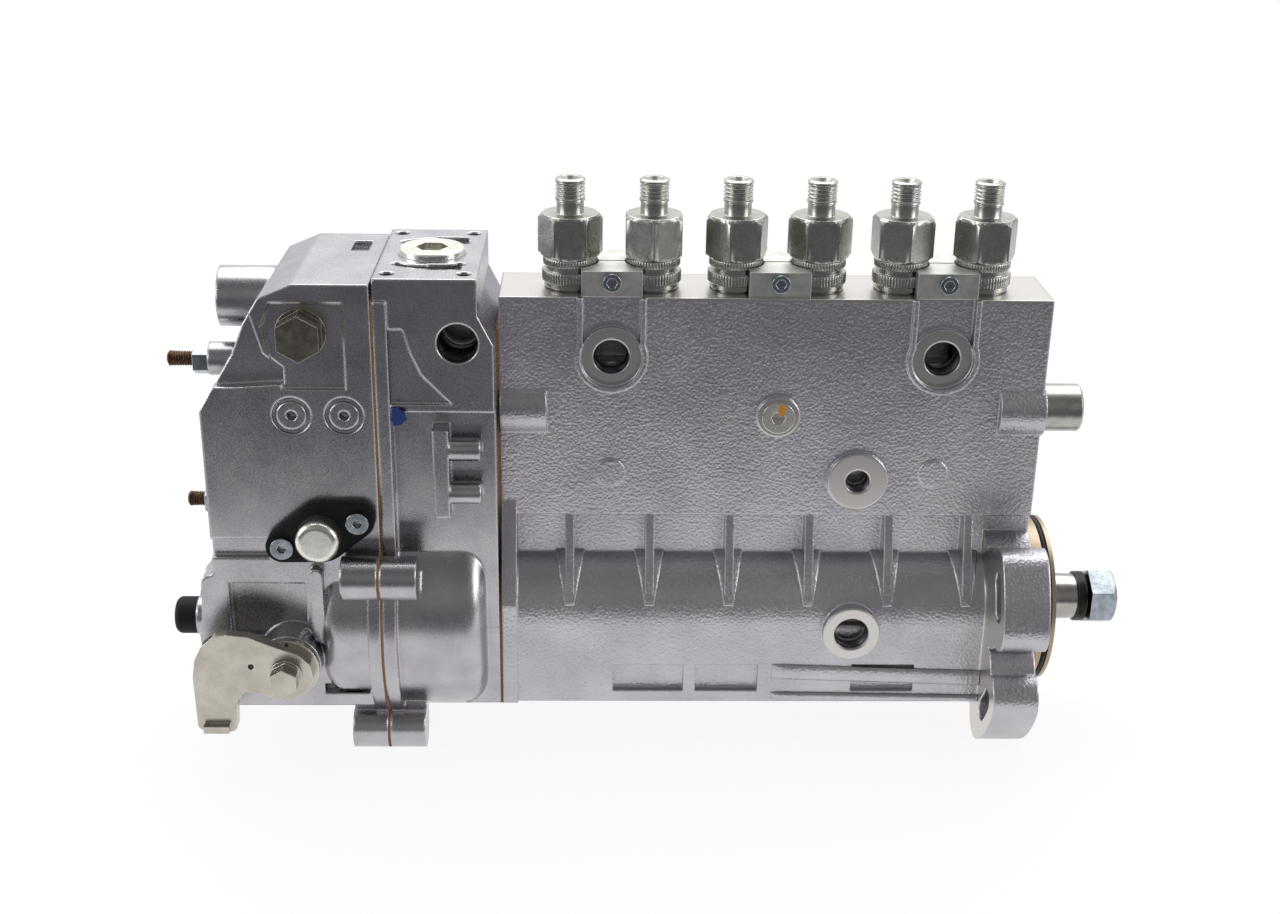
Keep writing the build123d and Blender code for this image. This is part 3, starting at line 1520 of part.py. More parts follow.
# Governor cover: the deep die-cast end cover over the levers
cover_points = [(cover_x - inset, height) for inset, height in cover_outline]
with BuildPart() as governor_cover:
    with BuildSketch(Plane.YZ.offset(cover_x)):
        Circle(dome_radius)
    extrude(amount=-cover_dome_length)
    fillet(governor_cover.edges().sort_by(Axis.X)[0], cover_dome_round)
    with BuildSketch(Plane.XZ.offset(cover_front)):
        Polygon(*cover_points, align=None)
        fillet(vertices().sort_by(Axis.X)[:-2], cover_corner)
    extrude(amount=-(cover_front + cover_back))
    # Rim and bolt lugs
    with BuildSketch(Plane.YZ.offset(cover_x)):
        Circle(joint_rim_radius)
        with Locations((0, joint_rim_height / 2)):
            Rectangle(2 * joint_rim_half, joint_rim_height)
    extrude(amount=-joint_rim)
    with BuildSketch(Plane.YZ.offset(cover_x)):
        for lug_y, lug_z in wall_lug_positions:
            with Locations((lug_y, lug_z)):
                Circle(lug_radius)
            with Locations(Location((0, 0, 0), (0, 0, math.degrees(math.atan2(lug_z, lug_y))))):
                Rectangle(math.hypot(lug_y, lug_z), lug_radius, align=(Align.MIN, Align.CENTER))
    extrude(amount=-lug_length)
    # Tube boss behind the upper corner, stud bosses and the lever shaft's boss
    with BuildSketch(Plane.YZ.offset(tube_end_x)):
        with Locations((tube_y, tube_height)):
            Circle(tube_radius)
    extrude(amount=tube_length)
    for z in (stud_height, second_stud_height):
        with BuildSketch(Plane.YZ.offset(stud_face_x)):
            with Locations((0, z)):
                Circle(stud_boss_radius)
        extrude(amount=cover_round + cover_wall)
    with BuildSketch(Plane.XZ.offset(cover_front)):
        with Locations((lever_x, lever_height)):
            Circle(shaft_boss_radius)
    extrude(amount=shaft_boss_reach)
    for y, z, radius in (
        (end_disc_y, end_disc_height, end_disc_radius),
        (vent_cap_y, vent_cap_height, vent_cap_radius),
    ):
        with BuildSketch(Plane.YZ.offset(end_seat_x)):
            with Locations((y, z)):
                Circle(radius + body_gap)
        extrude(amount=end_seat_depth)
    # Cast web beside the lever
    with BuildSketch(Plane.XZ.offset(cover_front)):
        with Locations((web_x, (web_top + web_knee) / 2)):
            SlotOverall(web_top - web_knee + web_width, web_width, rotation=90)
        with Locations((web_x + web_foot_length / 2, web_knee)):
            SlotOverall(web_foot_length + web_width, 2 * web_width)
    extrude(amount=web_reach)
    # Cavity
    with BuildSketch(Plane.XZ.offset(cover_front - cover_front_wall)):
        Polygon(*cover_points, align=None)
        with Locations((cover_x, (cover_height - cover_floor_drop) / 2)):
            Rectangle(2 * (cover_wall + overrun), cover_height + cover_floor_drop)
        offset(amount=-cover_wall, mode=Mode.REPLACE)
    extrude(amount=-(cover_front - cover_front_wall + cover_back - cover_wall), mode=Mode.SUBTRACT)
    with BuildSketch(Plane.YZ.offset(cover_x)):
        Circle(dome_bore)
    extrude(amount=-(cover_dome_length - cover_dome_round), mode=Mode.SUBTRACT)
    # Fulcrum pin bosses
    for side in (-1, 1):
        with BuildSketch(Plane.XZ.offset(side * fulcrum_boss_gap)):
            with Locations((fulcrum_x, fulcrum_height)):
                Circle(fulcrum_boss)
        extrude(amount=side * (cover_front - fulcrum_boss_gap))
    with BuildSketch(Plane.XZ.offset(fulcrum_pin_length / 2)):
        with Locations((fulcrum_x, fulcrum_height)):
            Circle(fulcrum_pin_radius)
    extrude(amount=-fulcrum_pin_length, mode=Mode.SUBTRACT)
    # Ledge, panel, waist groove and box recess on the front
    for points, depth in ((cover_ledge, cover_ledge_depth), (cover_panel, cover_panel_depth)):
        with BuildSketch(Plane.XZ.offset(cover_front)):
            Polygon(*[(cover_x - inset, height) for inset, height in points], align=None)
        extrude(amount=-depth, mode=Mode.SUBTRACT)
    with BuildSketch(Plane.XZ.offset(cover_front)):
        with Locations((waist_groove_x, waist_groove_height)):
            Rectangle(2 * waist_groove[0], waist_groove[1])
    extrude(amount=-waist_groove_depth, mode=Mode.SUBTRACT)
    with BuildSketch(Plane.XZ.offset(cover_front)):
        with Locations((box_recess_centre_x, box_recess_centre_z)):
            Rectangle(box_recess_x, box_recess_z)
        with Locations((lever_x, lever_height)):
            Circle(shaft_boss_radius, mode=Mode.SUBTRACT)
    extrude(amount=-box_recess_depth, mode=Mode.SUBTRACT)
    with BuildSketch(Plane.XZ.offset(cover_front)):
        with Locations((lower_slot_x, -lower_slot_height)):
            Rectangle(lower_slot_length, lower_slot_width)
    extrude(amount=-cover_front_wall / 2, mode=Mode.SUBTRACT)
    # Two small round bosses, each in its own moat
    with BuildSketch(Plane.XZ.offset(cover_front)):
        with Locations(*[(x, round_boss_height) for x in round_boss_x]):
            Circle(round_boss_radius + round_boss_moat)
            Circle(round_boss_radius, mode=Mode.SUBTRACT)
    extrude(amount=-round_boss_moat, mode=Mode.SUBTRACT)
    with BuildSketch(Plane.XZ.offset(cover_front)):
        with Locations(*[(x, round_boss_height) for x in round_boss_x]):
            Circle(round_boss_bore)
    extrude(amount=-cover_front_wall / 2, mode=Mode.SUBTRACT)
    # Window in the roof, plug thread, lever shaft bore and stud threads
    with BuildSketch(Plane.XY.offset(cover_height)):
        with Locations((top_window_x, top_window_y)):
            Rectangle(top_window, 2 * top_window)
    extrude(amount=-cover_wall / 2, mode=Mode.SUBTRACT)
    for x, z, radius, face in (
        (cover_plug_x, cover_plug_height, cover_plug_shank + thread_gap, cover_front),
        (lever_x, lever_height, lever_shaft_radius + run_gap, cover_front + shaft_boss_reach),
        (shutoff_x, shutoff_height, shutoff_cap_stub + thread_gap, cover_front),
    ):
        with BuildSketch(Plane.XZ.offset(face)):
            with Locations((x, z)):
                Circle(radius)
        extrude(amount=cover_front - cover_front_wall - face - overrun, mode=Mode.SUBTRACT)
    with BuildSketch(Plane.XZ.offset(cover_front)):
        with Locations(*shutoff_screw_places):
            Circle(shutoff_screw_shank + thread_gap)
    extrude(amount=-cover_front_wall, mode=Mode.SUBTRACT)
    for y, z, radius in (
        (0, stud_height, stud_radius + thread_gap),
        (0, second_stud_height, stud_radius + thread_gap),
        (vent_cap_y, vent_cap_height, vent_cap_stub + thread_gap),
    ):
        with BuildSketch(Plane.YZ.offset(end_seat_x - cover_wall)):
            with Locations((y, z)):
                Circle(radius)
        extrude(amount=end_hole_depth, mode=Mode.SUBTRACT)
    # Bolt holes with sunk heads
    with BuildSketch(Plane.YZ.offset(cover_x)):
        with Locations(*wall_lug_positions):
            Circle(bolt_shank + thread_gap)
    extrude(amount=-lug_length, mode=Mode.SUBTRACT)
    with BuildSketch(Plane.YZ.offset(cover_x - lug_length)):
        with Locations(*wall_lug_positions):
            Circle(bolt_head_radius + thread_gap)
    extrude(amount=bolt_recess, mode=Mode.SUBTRACT)
finish(governor_cover.part, "governor_cover")


# Threaded plug in the mounting pad, with a hexagon socket
with BuildPart() as pad_plug:
    with BuildSketch(Plane.XY.offset(block_height - seat_sink)):
        with Locations((pad_centre_x, 0)):
            Circle(pad_plug_flange)
    extrude(amount=seat_sink + pad_plug_height)
    chamfer(pad_plug.edges().group_by(Axis.Z)[-1], pad_plug_height * small_chamfer_share)
    with BuildSketch(Plane.XY.offset(block_height)):
        with Locations((pad_centre_x, 0)):
            Circle(pad_plug_stub)
    extrude(amount=-pad_plug_depth)
    with BuildSketch(Plane.XY.offset(block_height + pad_plug_height)):
        with Locations((pad_centre_x, 0)):
            RegularPolygon(pad_plug_socket / 2, 6, major_radius=False)
    extrude(amount=-pad_plug_socket_depth, mode=Mode.SUBTRACT)
finish(pad_plug.part, "pad_plug")

# Bolts that hold the cover, with their heads sunk in its lugs
with BuildPart() as cover_bolts:
    head_x = cover_x - lug_length + bolt_recess
    with BuildSketch(Plane.YZ.offset(head_x)):
        with Locations(*wall_lug_positions):
            Circle(bolt_head_radius)
    extrude(amount=-bolt_head_height)
    with BuildSketch(Plane.YZ.offset(head_x)):
        with Locations(*wall_lug_positions):
            Circle(bolt_shank)
    extrude(amount=cover_joint_x - head_x + bolt_thread_depth - overrun)
    with BuildSketch(Plane.YZ.offset(head_x - bolt_head_height)):
        with Locations(*wall_lug_positions):
            RegularPolygon(bolt_socket_flats / 2, 6, major_radius=False)
    extrude(amount=bolt_head_height / 2, mode=Mode.SUBTRACT)
finish(cover_bolts.part, "cover_bolts")

# Two stop studs through the cover's end wall, each with a lock nut
with BuildPart() as stop_studs:
    for tip_x, z in ((stud_tip_x, stud_height), (second_stud_tip_x, second_stud_height)):
        with BuildSketch(Plane.YZ.offset(tip_x)):
            with Locations((0, z)):
                Circle(stud_radius)
        extrude(amount=stud_face_x + stud_inner_length - tip_x)
    chamfer(stop_studs.edges().filter_by(GeomType.CIRCLE), stud_radius * small_chamfer_share)
finish(stop_studs.part, "stop_studs")

with BuildPart() as stud_nuts:
    with BuildSketch(Plane.YZ.offset(stud_face_x)):
        with Locations((0, stud_height), (0, second_stud_height)):
            RegularPolygon(stud_nut_flats / 2, 6, major_radius=False, rotation=30)
            Circle(stud_radius + thread_gap, mode=Mode.SUBTRACT)
    extrude(amount=-stud_nut_height)
finish(stud_nuts.part, "stud_nuts")

# Hexagon plug on the cover's front
with BuildPart() as cover_hex_plug:
    plug_face = cover_front - cover_panel_depth
    with BuildSketch(Plane.XZ.offset(plug_face)):
        with Locations((cover_plug_x, cover_plug_height)):
            Circle(cover_plug_collar)
    extrude(amount=cover_plug_collar_height)
    with BuildSketch(Plane.XZ.offset(plug_face + cover_plug_collar_height)):
        with Locations((cover_plug_x, cover_plug_height)):
            RegularPolygon(cover_plug_flats / 2, 6, major_radius=False, rotation=30)
    extrude(amount=cover_plug_head)
    with BuildSketch(Plane.XZ.offset(plug_face)):
        with Locations((cover_plug_x, cover_plug_height)):
            Circle(cover_plug_shank)
    extrude(amount=-cover_plug_depth)
finish(cover_hex_plug.part, "cover_hex_plug")

# Vent cap and the pressed end disc on the cover's end wall
with BuildPart() as vent_cap:
    with BuildSketch(Plane.YZ.offset(end_seat_x)):
        with Locations((vent_cap_y, vent_cap_height)):
            Circle(vent_cap_radius)
    extrude(amount=-vent_cap_length)
    fillet(vent_cap.edges().group_by(Axis.X)[0], cover_corner)
    with BuildSketch(Plane.YZ.offset(end_seat_x)):
        with Locations((vent_cap_y, vent_cap_height)):
            Circle(vent_cap_stub)
    extrude(amount=end_seat_depth)
finish(vent_cap.part, "vent_cap")

with BuildPart() as end_disc:
    with BuildSketch(Plane.YZ.offset(end_seat_x)):
        with Locations((end_disc_y, end_disc_height)):
            Circle(end_disc_radius)
    extrude(amount=-end_disc_thickness)
    with BuildSketch(Plane.YZ.offset(end_seat_x - end_disc_thickness)):
        with Locations((end_disc_y, end_disc_height)):
            Circle(end_disc_radius)
            Circle(end_disc_radius - end_disc_lip, mode=Mode.SUBTRACT)
    extrude(amount=-end_disc_lip)
finish(end_disc.part, "end_disc")

# Shut-off stub: a plastic flange with two screws and a metal cap in its centre
with BuildPart() as shutoff_flange:
    with BuildSketch(Plane.XZ.offset(cover_front)):
        with BuildLine():
            CenterArc((shutoff_x, shutoff_height), shutoff_flange_radius, 0, 360)
            for place in shutoff_screw_places:
                CenterArc(place, shutoff_ear_radius, 0, 360)
        make_hull()
        with Locations((shutoff_x, shutoff_height)):
            Circle(shutoff_cap_stub + thread_gap, mode=Mode.SUBTRACT)
        with Locations(*shutoff_screw_places):
            Circle(shutoff_screw_shank + thread_gap, mode=Mode.SUBTRACT)
    extrude(amount=shutoff_flange_height)
finish(shutoff_flange.part, "shutoff_flange")

with BuildPart() as shutoff_cap:
    with BuildSketch(Plane.XZ.offset(cover_front + shutoff_flange_height)):
        with Locations((shutoff_x, shutoff_height)):
            Circle(shutoff_cap_radius)
    extrude(amount=shutoff_cap_length)
    fillet(shutoff_cap.edges().group_by(Axis.Y)[0], cover_corner)
    with BuildSketch(Plane.XZ.offset(cover_front + shutoff_flange_height)):
        with Locations((shutoff_x, shutoff_height)):
            Circle(shutoff_cap_stub)
    extrude(amount=-(shutoff_flange_height + cover_wall))
finish(shutoff_cap.part, "shutoff_cap")

with BuildPart() as flange_screws:
    for x, z in shutoff_screw_places:
        with BuildSketch(Plane.XZ.offset(cover_front + shutoff_flange_height)):
            with Locations((x, z)):
                Circle(shutoff_screw_head)
        extrude(amount=shutoff_screw_head_height)
        with BuildSketch(Plane.XZ.offset(cover_front + shutoff_flange_height)):
            with Locations((x, z)):
                Circle(shutoff_screw_shank)
        extrude(amount=-shutoff_screw_length)
        with BuildSketch(Plane.XZ.offset(cover_front + shutoff_flange_height + shutoff_screw_head_height)):
            with Locations((x, z)):
                RegularPolygon(shutoff_screw_socket, 6)
        extrude(amount=-shutoff_screw_head_height, mode=Mode.SUBTRACT)
finish(flange_screws.part, "flange_screws")

# Flyweight carrier on the camshaft's end, with its nut and the two pivot pins
with BuildPart() as flyweight_carrier:
    with BuildSketch(Plane.YZ.offset(carrier_x)):
        Circle(carrier_radius)
    extrude(amount=carrier_width)
    with BuildSketch(Plane.YZ.offset(carrier_x)):
        Circle(carrier_hub)
    extrude(amount=joint_x - overrun - carrier_x)
    lug_start = carrier_x - carrier_lug_reach
    with BuildSketch(Plane.YZ.offset(lug_start)):
        for side in (-1, 1):
            with Locations((side * (carrier_lug_gap + carrier_lug_thickness) / 2, 0)):
                Rectangle(carrier_lug_thickness, 2 * carrier_lug_height)
    extrude(amount=carrier_width + carrier_lug_reach)
    with BuildSketch(Plane.YZ.offset(lug_start)):
        Circle(carrier_nut_clearing)
    extrude(amount=carrier_lug_reach, mode=Mode.SUBTRACT)
    with BuildSketch(Plane.YZ.offset(carrier_x)):
        Circle(shaft_thread + run_gap)
    extrude(amount=joint_x - overrun - carrier_x, mode=Mode.SUBTRACT)
    with BuildSketch(Plane.XZ.offset(carrier_radius)):
        with Locations((weight_pivot_x, weight_pivot_height), (weight_pivot_x, -weight_pivot_height)):
            Circle(weight_pin_radius + run_gap)
    extrude(amount=-2 * carrier_radius, mode=Mode.SUBTRACT)
finish(flyweight_carrier.part, "flyweight_carrier")

with BuildPart() as carrier_nut:
    with BuildSketch(Plane.YZ.offset(carrier_x - carrier_nut_height)):
        RegularPolygon(carrier_nut_flats / 2, 6, major_radius=False, rotation=30)
        Circle(carrier_thread + thread_gap, mode=Mode.SUBTRACT)
    extrude(amount=carrier_nut_height)
finish(carrier_nut.part, "carrier_nut")

with BuildPart() as flyweight_pins:
    pin_half = carrier_lug_gap / 2 + carrier_lug_thickness
    with BuildSketch(Plane.XZ.offset(pin_half)):
        with Locations((weight_pivot_x, weight_pivot_height), (weight_pivot_x, -weight_pivot_height)):
            Circle(weight_pin_radius)
    extrude(amount=-2 * pin_half)
finish(flyweight_pins.part, "flyweight_pins")

# Flyweights: a mass on a bell crank whose nose pushes the governor sleeve
for label, side in (("flyweight_upper", 1), ("flyweight_lower", -1)):
    with BuildPart() as flyweight:
        mass_start = weight_pivot_x - weight_length
        with BuildSketch(Plane.XZ.offset(weight_half)):
            Polygon(
                (mass_start, side * weight_foot),
                (mass_start, side * weight_top),
                (weight_pivot_x - weight_mass_start, side * weight_top),
                (weight_pivot_x + weight_eye_radius * eye_tangent_share, side * weight_pivot_height),
                (weight_tip_x, side * (weight_arm_tip - weight_tip_radius)),
                (weight_tip_x - weight_tip_radius, side * weight_arm_tip),
                (weight_pivot_x - weight_eye_radius, side * weight_pivot_height),
                align=None,
            )
            with Locations((weight_pivot_x, side * weight_pivot_height)):
                Circle(weight_eye_radius)
            with Locations((weight_tip_x, side * weight_arm_tip)):
                Circle(weight_tip_radius)
            with Locations((weight_pivot_x, side * weight_pivot_height)):
                Circle(weight_pin_radius + run_gap, mode=Mode.SUBTRACT)
        extrude(amount=-2 * weight_half)
        with BuildSketch(Plane.XZ.offset(weight_cheek_half)):
            Polygon(
                (mass_start, side * weight_foot),
                (mass_start, side * weight_top),
                (weight_pivot_x - weight_cheek_inset, side * weight_top),
                (weight_pivot_x - weight_cheek_inset, side * weight_foot),
                align=None,
            )
        extrude(amount=-2 * weight_cheek_half)
    finish(flyweight.part, label)

# Governor sleeve, sliding on the guide at the camshaft's end
with BuildPart() as governor_sleeve:
    with BuildSketch(Plane.XZ):
        with BuildLine():
            Polyline(
                (sleeve_end_x, 0),
                (sleeve_end_x, sleeve_nose_radius),
                (sleeve_end_x + sleeve_nose_length, sleeve_nose_radius),
                (sleeve_end_x + sleeve_nose_length, sleeve_tube_radius),
                (sleeve_disc_x - sleeve_disc_thickness, sleeve_tube_radius),
                (sleeve_disc_x - sleeve_disc_thickness, sleeve_disc_radius),
                (sleeve_disc_x, sleeve_disc_radius),
                (sleeve_disc_x, shaft_guide + run_gap),
                (sleeve_end_x + sleeve_floor, shaft_guide + run_gap),
                (sleeve_end_x + sleeve_floor, 0),
                close=True,
            )
        make_face()
    revolve(axis=Axis.X)
finish(governor_sleeve.part, "governor_sleeve")

# Fulcrum lever: eye on its pin below, fork round the rack's pin above
with BuildPart() as fulcrum_lever:
    fork_top = rack_height + fulcrum_fork_height - rack_pin_radius
    with BuildSketch(Plane.XZ.offset(fulcrum_thickness / 2)):
        with Locations((fulcrum_x, (fulcrum_height + rack_height) / 2)):
            Rectangle(fulcrum_width, rack_height - fulcrum_height)
        with Locations((fulcrum_x, fulcrum_height)):
            Circle(fulcrum_boss)
        with Locations((fulcrum_x, (rack_height - fulcrum_fork_overlap + fork_top) / 2)):
            Rectangle(fulcrum_fork_width, fork_top - rack_height + fulcrum_fork_overlap)
        slot_foot = rack_height - rack_pin_radius - fork_gap
        with Locations((fulcrum_x, (slot_foot + fork_top + overrun) / 2)):
            Rectangle(2 * (rack_pin_radius + fork_gap), fork_top + overrun - slot_foot, mode=Mode.SUBTRACT)
        with Locations((fulcrum_x, fulcrum_height)):
            Circle(fulcrum_pin_radius + run_gap, mode=Mode.SUBTRACT)
    extrude(amount=-fulcrum_thickness)
finish(fulcrum_lever.part, "fulcrum_lever")

with BuildPart() as fulcrum_pin:
    with BuildSketch(Plane.XZ.offset(fulcrum_pin_length / 2)):
        with Locations((fulcrum_x, fulcrum_height)):
            Circle(fulcrum_pin_radius)
    extrude(amount=-fulcrum_pin_length)
finish(fulcrum_pin.part, "fulcrum_pin")

# Auxiliary idling spring on the second stud
with BuildPart() as governor_spring:
    spring_start = cover_x - cover_end_reach + cover_wall + governor_spring_wire
    spring_length = governor_spring_pitch * governor_spring_turns
    coil_plane = Plane(origin=(spring_start, 0, second_stud_height), x_dir=(0, 1, 0), z_dir=(1, 0, 0))
    coil = Helix(governor_spring_pitch, spring_length, governor_spring_radius)
    coil_path = coil_plane.location * coil
    with BuildSketch(Plane(origin=coil_path @ 0, z_dir=coil_path % 0)):
        Circle(governor_spring_wire / 2)
    sweep(path=coil_path, is_frenet=True)
finish(governor_spring.part, "governor_spring")

# Control lever shaft with its inner arm, and the disc, lever and bolt on its outer end
with BuildPart() as lever_shaft:
    with BuildSketch(Plane.XZ.offset(lever_shaft_end)):
        with Locations((lever_x, lever_height)):
            Circle(lever_shaft_radius)
    extrude(amount=lever_disc_face - lever_shaft_end)
    with BuildSketch(Plane.XZ.offset(lever_disc_face)):
        with Locations((lever_x, lever_height)):
            Circle(lever_neck_radius)
    extrude(amount=lever_disc_thickness + lever_plate_thickness)
    with BuildSketch(Plane.XZ.offset(lever_shaft_end)):
        with Locations((lever_x, lever_height + swivel_arm_length / 2)):
            SlotOverall(swivel_arm_length + swivel_arm_width, swivel_arm_width, rotation=90)
    extrude(amount=swivel_arm_thickness)
    with BuildSketch(Plane.XZ.offset(lever_disc_face + lever_disc_thickness + lever_plate_thickness)):
        with Locations((lever_x, lever_height)):
            Circle(lever_bolt_shank + thread_gap)
    extrude(amount=-(lever_bolt_depth + overrun), mode=Mode.SUBTRACT)
finish(lever_shaft.part, "lever_shaft")

with BuildPart() as lever_disc:
    with BuildSketch(Plane.XZ.offset(lever_disc_face)):
        with Locations((lever_x, lever_height)):
            Circle(lever_disc_radius)
            Circle(lever_neck_radius + run_gap, mode=Mode.SUBTRACT)
        with Locations((lever_x, lever_height + lever_disc_hole_height)):
            Circle(lever_disc_hole, mode=Mode.SUBTRACT)
    extrude(amount=lever_disc_thickness)
finish(lever_disc.part, "lever_disc")

with BuildPart() as control_lever:
    with BuildSketch(Plane.XZ.offset(lever_disc_face + lever_disc_thickness)):
        Polygon(*lever_outline, align=None)
        fillet(vertices(), lever_outline_round)
        with Locations((lever_x, lever_height)):
            Circle(lever_neck_radius + run_gap, mode=Mode.SUBTRACT)
        with Locations((lever_hole_x, lever_hole_height)):
            Circle(lever_hole, mode=Mode.SUBTRACT)
    extrude(amount=lever_plate_thickness)
    with BuildSketch(Plane.XZ.offset(lever_disc_face + lever_disc_thickness + lever_plate_thickness)):
        with Locations((lever_tab_x, lever_tab_foot + lever_tab_thickness / 2)):
            Rectangle(lever_tab_width, lever_tab_thickness)
    extrude(amount=lever_tab_depth)
finish(control_lever.part, "control_lever")

with BuildPart() as lever_bolt:
    bolt_face = lever_disc_face + lever_disc_thickness + lever_plate_thickness
    with BuildSketch(Plane.XZ.offset(bolt_face)):
        with Locations((lever_x, lever_height)):
            Circle(lever_bolt_washer)
    extrude(amount=lever_bolt_washer_height)
    with BuildSketch(Plane.XZ.offset(bolt_face + lever_bolt_washer_height)):
        with Locations((lever_x, lever_height)):
            RegularPolygon(lever_bolt_flats / 2, 6, major_radius=False, rotation=30)
    extrude(amount=lever_bolt_height)
    with BuildSketch(Plane.XZ.offset(bolt_face)):
        with Locations((lever_x, lever_height)):
            Circle(lever_bolt_shank)
    extrude(amount=-lever_bolt_depth)
finish(lever_bolt.part, "lever_bolt")
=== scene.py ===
import math

import bmesh
import bpy
from mathutils import Matrix, Vector


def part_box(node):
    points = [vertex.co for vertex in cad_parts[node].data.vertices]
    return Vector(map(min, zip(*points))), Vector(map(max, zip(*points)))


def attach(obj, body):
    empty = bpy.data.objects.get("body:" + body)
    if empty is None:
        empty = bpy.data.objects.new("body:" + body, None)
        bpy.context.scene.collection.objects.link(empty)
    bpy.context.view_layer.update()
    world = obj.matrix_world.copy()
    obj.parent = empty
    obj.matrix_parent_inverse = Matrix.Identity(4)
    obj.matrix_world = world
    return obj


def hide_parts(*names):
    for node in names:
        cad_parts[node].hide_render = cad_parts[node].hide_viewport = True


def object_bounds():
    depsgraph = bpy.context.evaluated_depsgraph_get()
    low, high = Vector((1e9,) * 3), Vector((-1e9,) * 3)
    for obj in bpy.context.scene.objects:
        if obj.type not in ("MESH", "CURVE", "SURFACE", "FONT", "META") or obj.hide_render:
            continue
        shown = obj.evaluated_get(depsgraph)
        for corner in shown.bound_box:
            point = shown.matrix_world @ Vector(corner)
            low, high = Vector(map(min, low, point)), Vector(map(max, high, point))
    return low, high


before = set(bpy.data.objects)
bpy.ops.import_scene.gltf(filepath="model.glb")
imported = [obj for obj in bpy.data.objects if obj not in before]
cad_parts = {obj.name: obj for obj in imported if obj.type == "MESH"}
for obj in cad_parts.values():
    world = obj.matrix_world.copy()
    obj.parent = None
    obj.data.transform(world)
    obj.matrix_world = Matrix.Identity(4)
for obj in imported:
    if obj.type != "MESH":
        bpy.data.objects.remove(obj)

cad_size = [list(corner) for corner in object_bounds()]

# Pump housing: a sand-cast aluminium block, shot blasted after casting, grey with a lavender cast.
# The moulding sand leaves a pebbled skin, drawn slightly coarser than the real one so that it shows.
# Seats, the flange and the top are milled bright, and the edges are painted brighter: partly wear from
# handling, partly a painted highlight along them.
housing_grey = "CAC8CC"
housing_shade = "B8B6BB"
housing_edge = "D6D3D8"
sand_grain = 0.0009
sand_depth = 0.00022
stain_width = 0.022
housing_bevel = 0.0012
cloud_range = {"From Min": 0.35, "From Max": 0.65}
pit_range = {"From Min": 0.30, "From Max": 0.60}
skin_range = {"From Min": 0.3, "From Max": 0.7}
cast_polish = 0.06
cast_haze = 0.08
pebble_spread = 1.3
edge_wear_and_highlight_share = 0.35
cast_edge_turn = 0.16
faced_tone = "D0CCC9"
faced_dullness = 0.30
face_flatness = 100
port_seats = ((-0.170, -0.0158, 0.110), (-0.042, -0.0158, 0.110))
side_hole_seat = (-0.072, -0.0184, 0.0594)
lock_plug_seat = (-0.1047, -0.0180, 0.0864)
oil_port_seat = (-0.0724, -0.0310, -0.002)
flange_faces = ((-0.018, 0.0, 0.0), (0.0, 0.0, 0.0))
head_middle = (-0.106, 0.0, 0.134)
port_seat_radius = 0.0120
lock_plug_seat_radius = 0.0084
oil_port_seat_radius = 0.0115
flange_reach = 0.062
head_reach = 0.120


def paint(code):
    """The linear colour for an sRGB hex code."""
    channels = [int(code[i : i + 2], 16) / 255 for i in (0, 2, 4)]
    return (*[c / 12.92 if c <= 0.04045 else ((c + 0.055) / 1.055) ** 2.4 for c in channels], 1.0)


def new_material(name):
    """A material with its Principled shader and the object's coordinates."""
    material = bpy.data.materials.new(name)
    material.use_nodes = True
    shader = material.node_tree.nodes["Principled BSDF"]
    coordinates = material.node_tree.nodes.new("ShaderNodeTexCoord")
    return material, shader, coordinates.outputs["Object"]


def link(owner, source, target):
    """Link two sockets in a material or world."""
    owner.node_tree.links.new(source, target)


def add_node(owner, kind, inputs, **settings):
    """Add one node to a material or world, with its settings, socket values and links."""
    node = owner.node_tree.nodes.new(kind)
    for name, value in settings.items():
        setattr(node, name, value)
    for socket, value in inputs.items():
        if isinstance(value, bpy.types.NodeSocket):
            link(owner, value, node.inputs[socket])
        else:
            node.inputs[socket].default_value = value
    return node


def edge_glow(material, radius, sharpness):
    """A rounded normal, and a mask that is 1 on edges and 0 on flats."""
    rounded = add_node(material, "ShaderNodeBevel", {"Radius": radius}, samples=8).outputs["Normal"]
    geometry = add_node(material, "ShaderNodeNewGeometry", {})
    normals = {0: rounded, 1: geometry.outputs["Normal"]}
    facing = add_node(material, "ShaderNodeVectorMath", normals, operation="DOT_PRODUCT")
    ends = {"From Min": 1.0, "From Max": 1.0 - sharpness}
    mask = add_node(material, "ShaderNodeMapRange", {"Value": facing.outputs["Value"], **ends})
    return rounded, mask.outputs[0]


def faced_discs(material, place, discs):
    """A mask that is 1 on round faces: each disc is (centre, the way it faces, radius)."""
    mask = None
    for centre, facing, radius in discs:
        spread = tuple(face_flatness if share else 1 for share in facing)
        middle = tuple(c * f for c, f in zip(centre, spread))
        stretched = add_node(material, "ShaderNodeVectorMath", {0: place, 1: spread}, operation="MULTIPLY")
        ends = {0: stretched.outputs[0], 1: middle}
        apart = add_node(material, "ShaderNodeVectorMath", ends, operation="DISTANCE")
        limits = {0: apart.outputs["Value"], 1: radius}
        inside = add_node(material, "ShaderNodeMath", limits, operation="LESS_THAN").outputs[0]
        if mask is not None:
            masks = {0: mask, 1: inside}
            inside = add_node(material, "ShaderNodeMath", masks, operation="MAXIMUM").outputs[0]
        mask = inside
    return mask


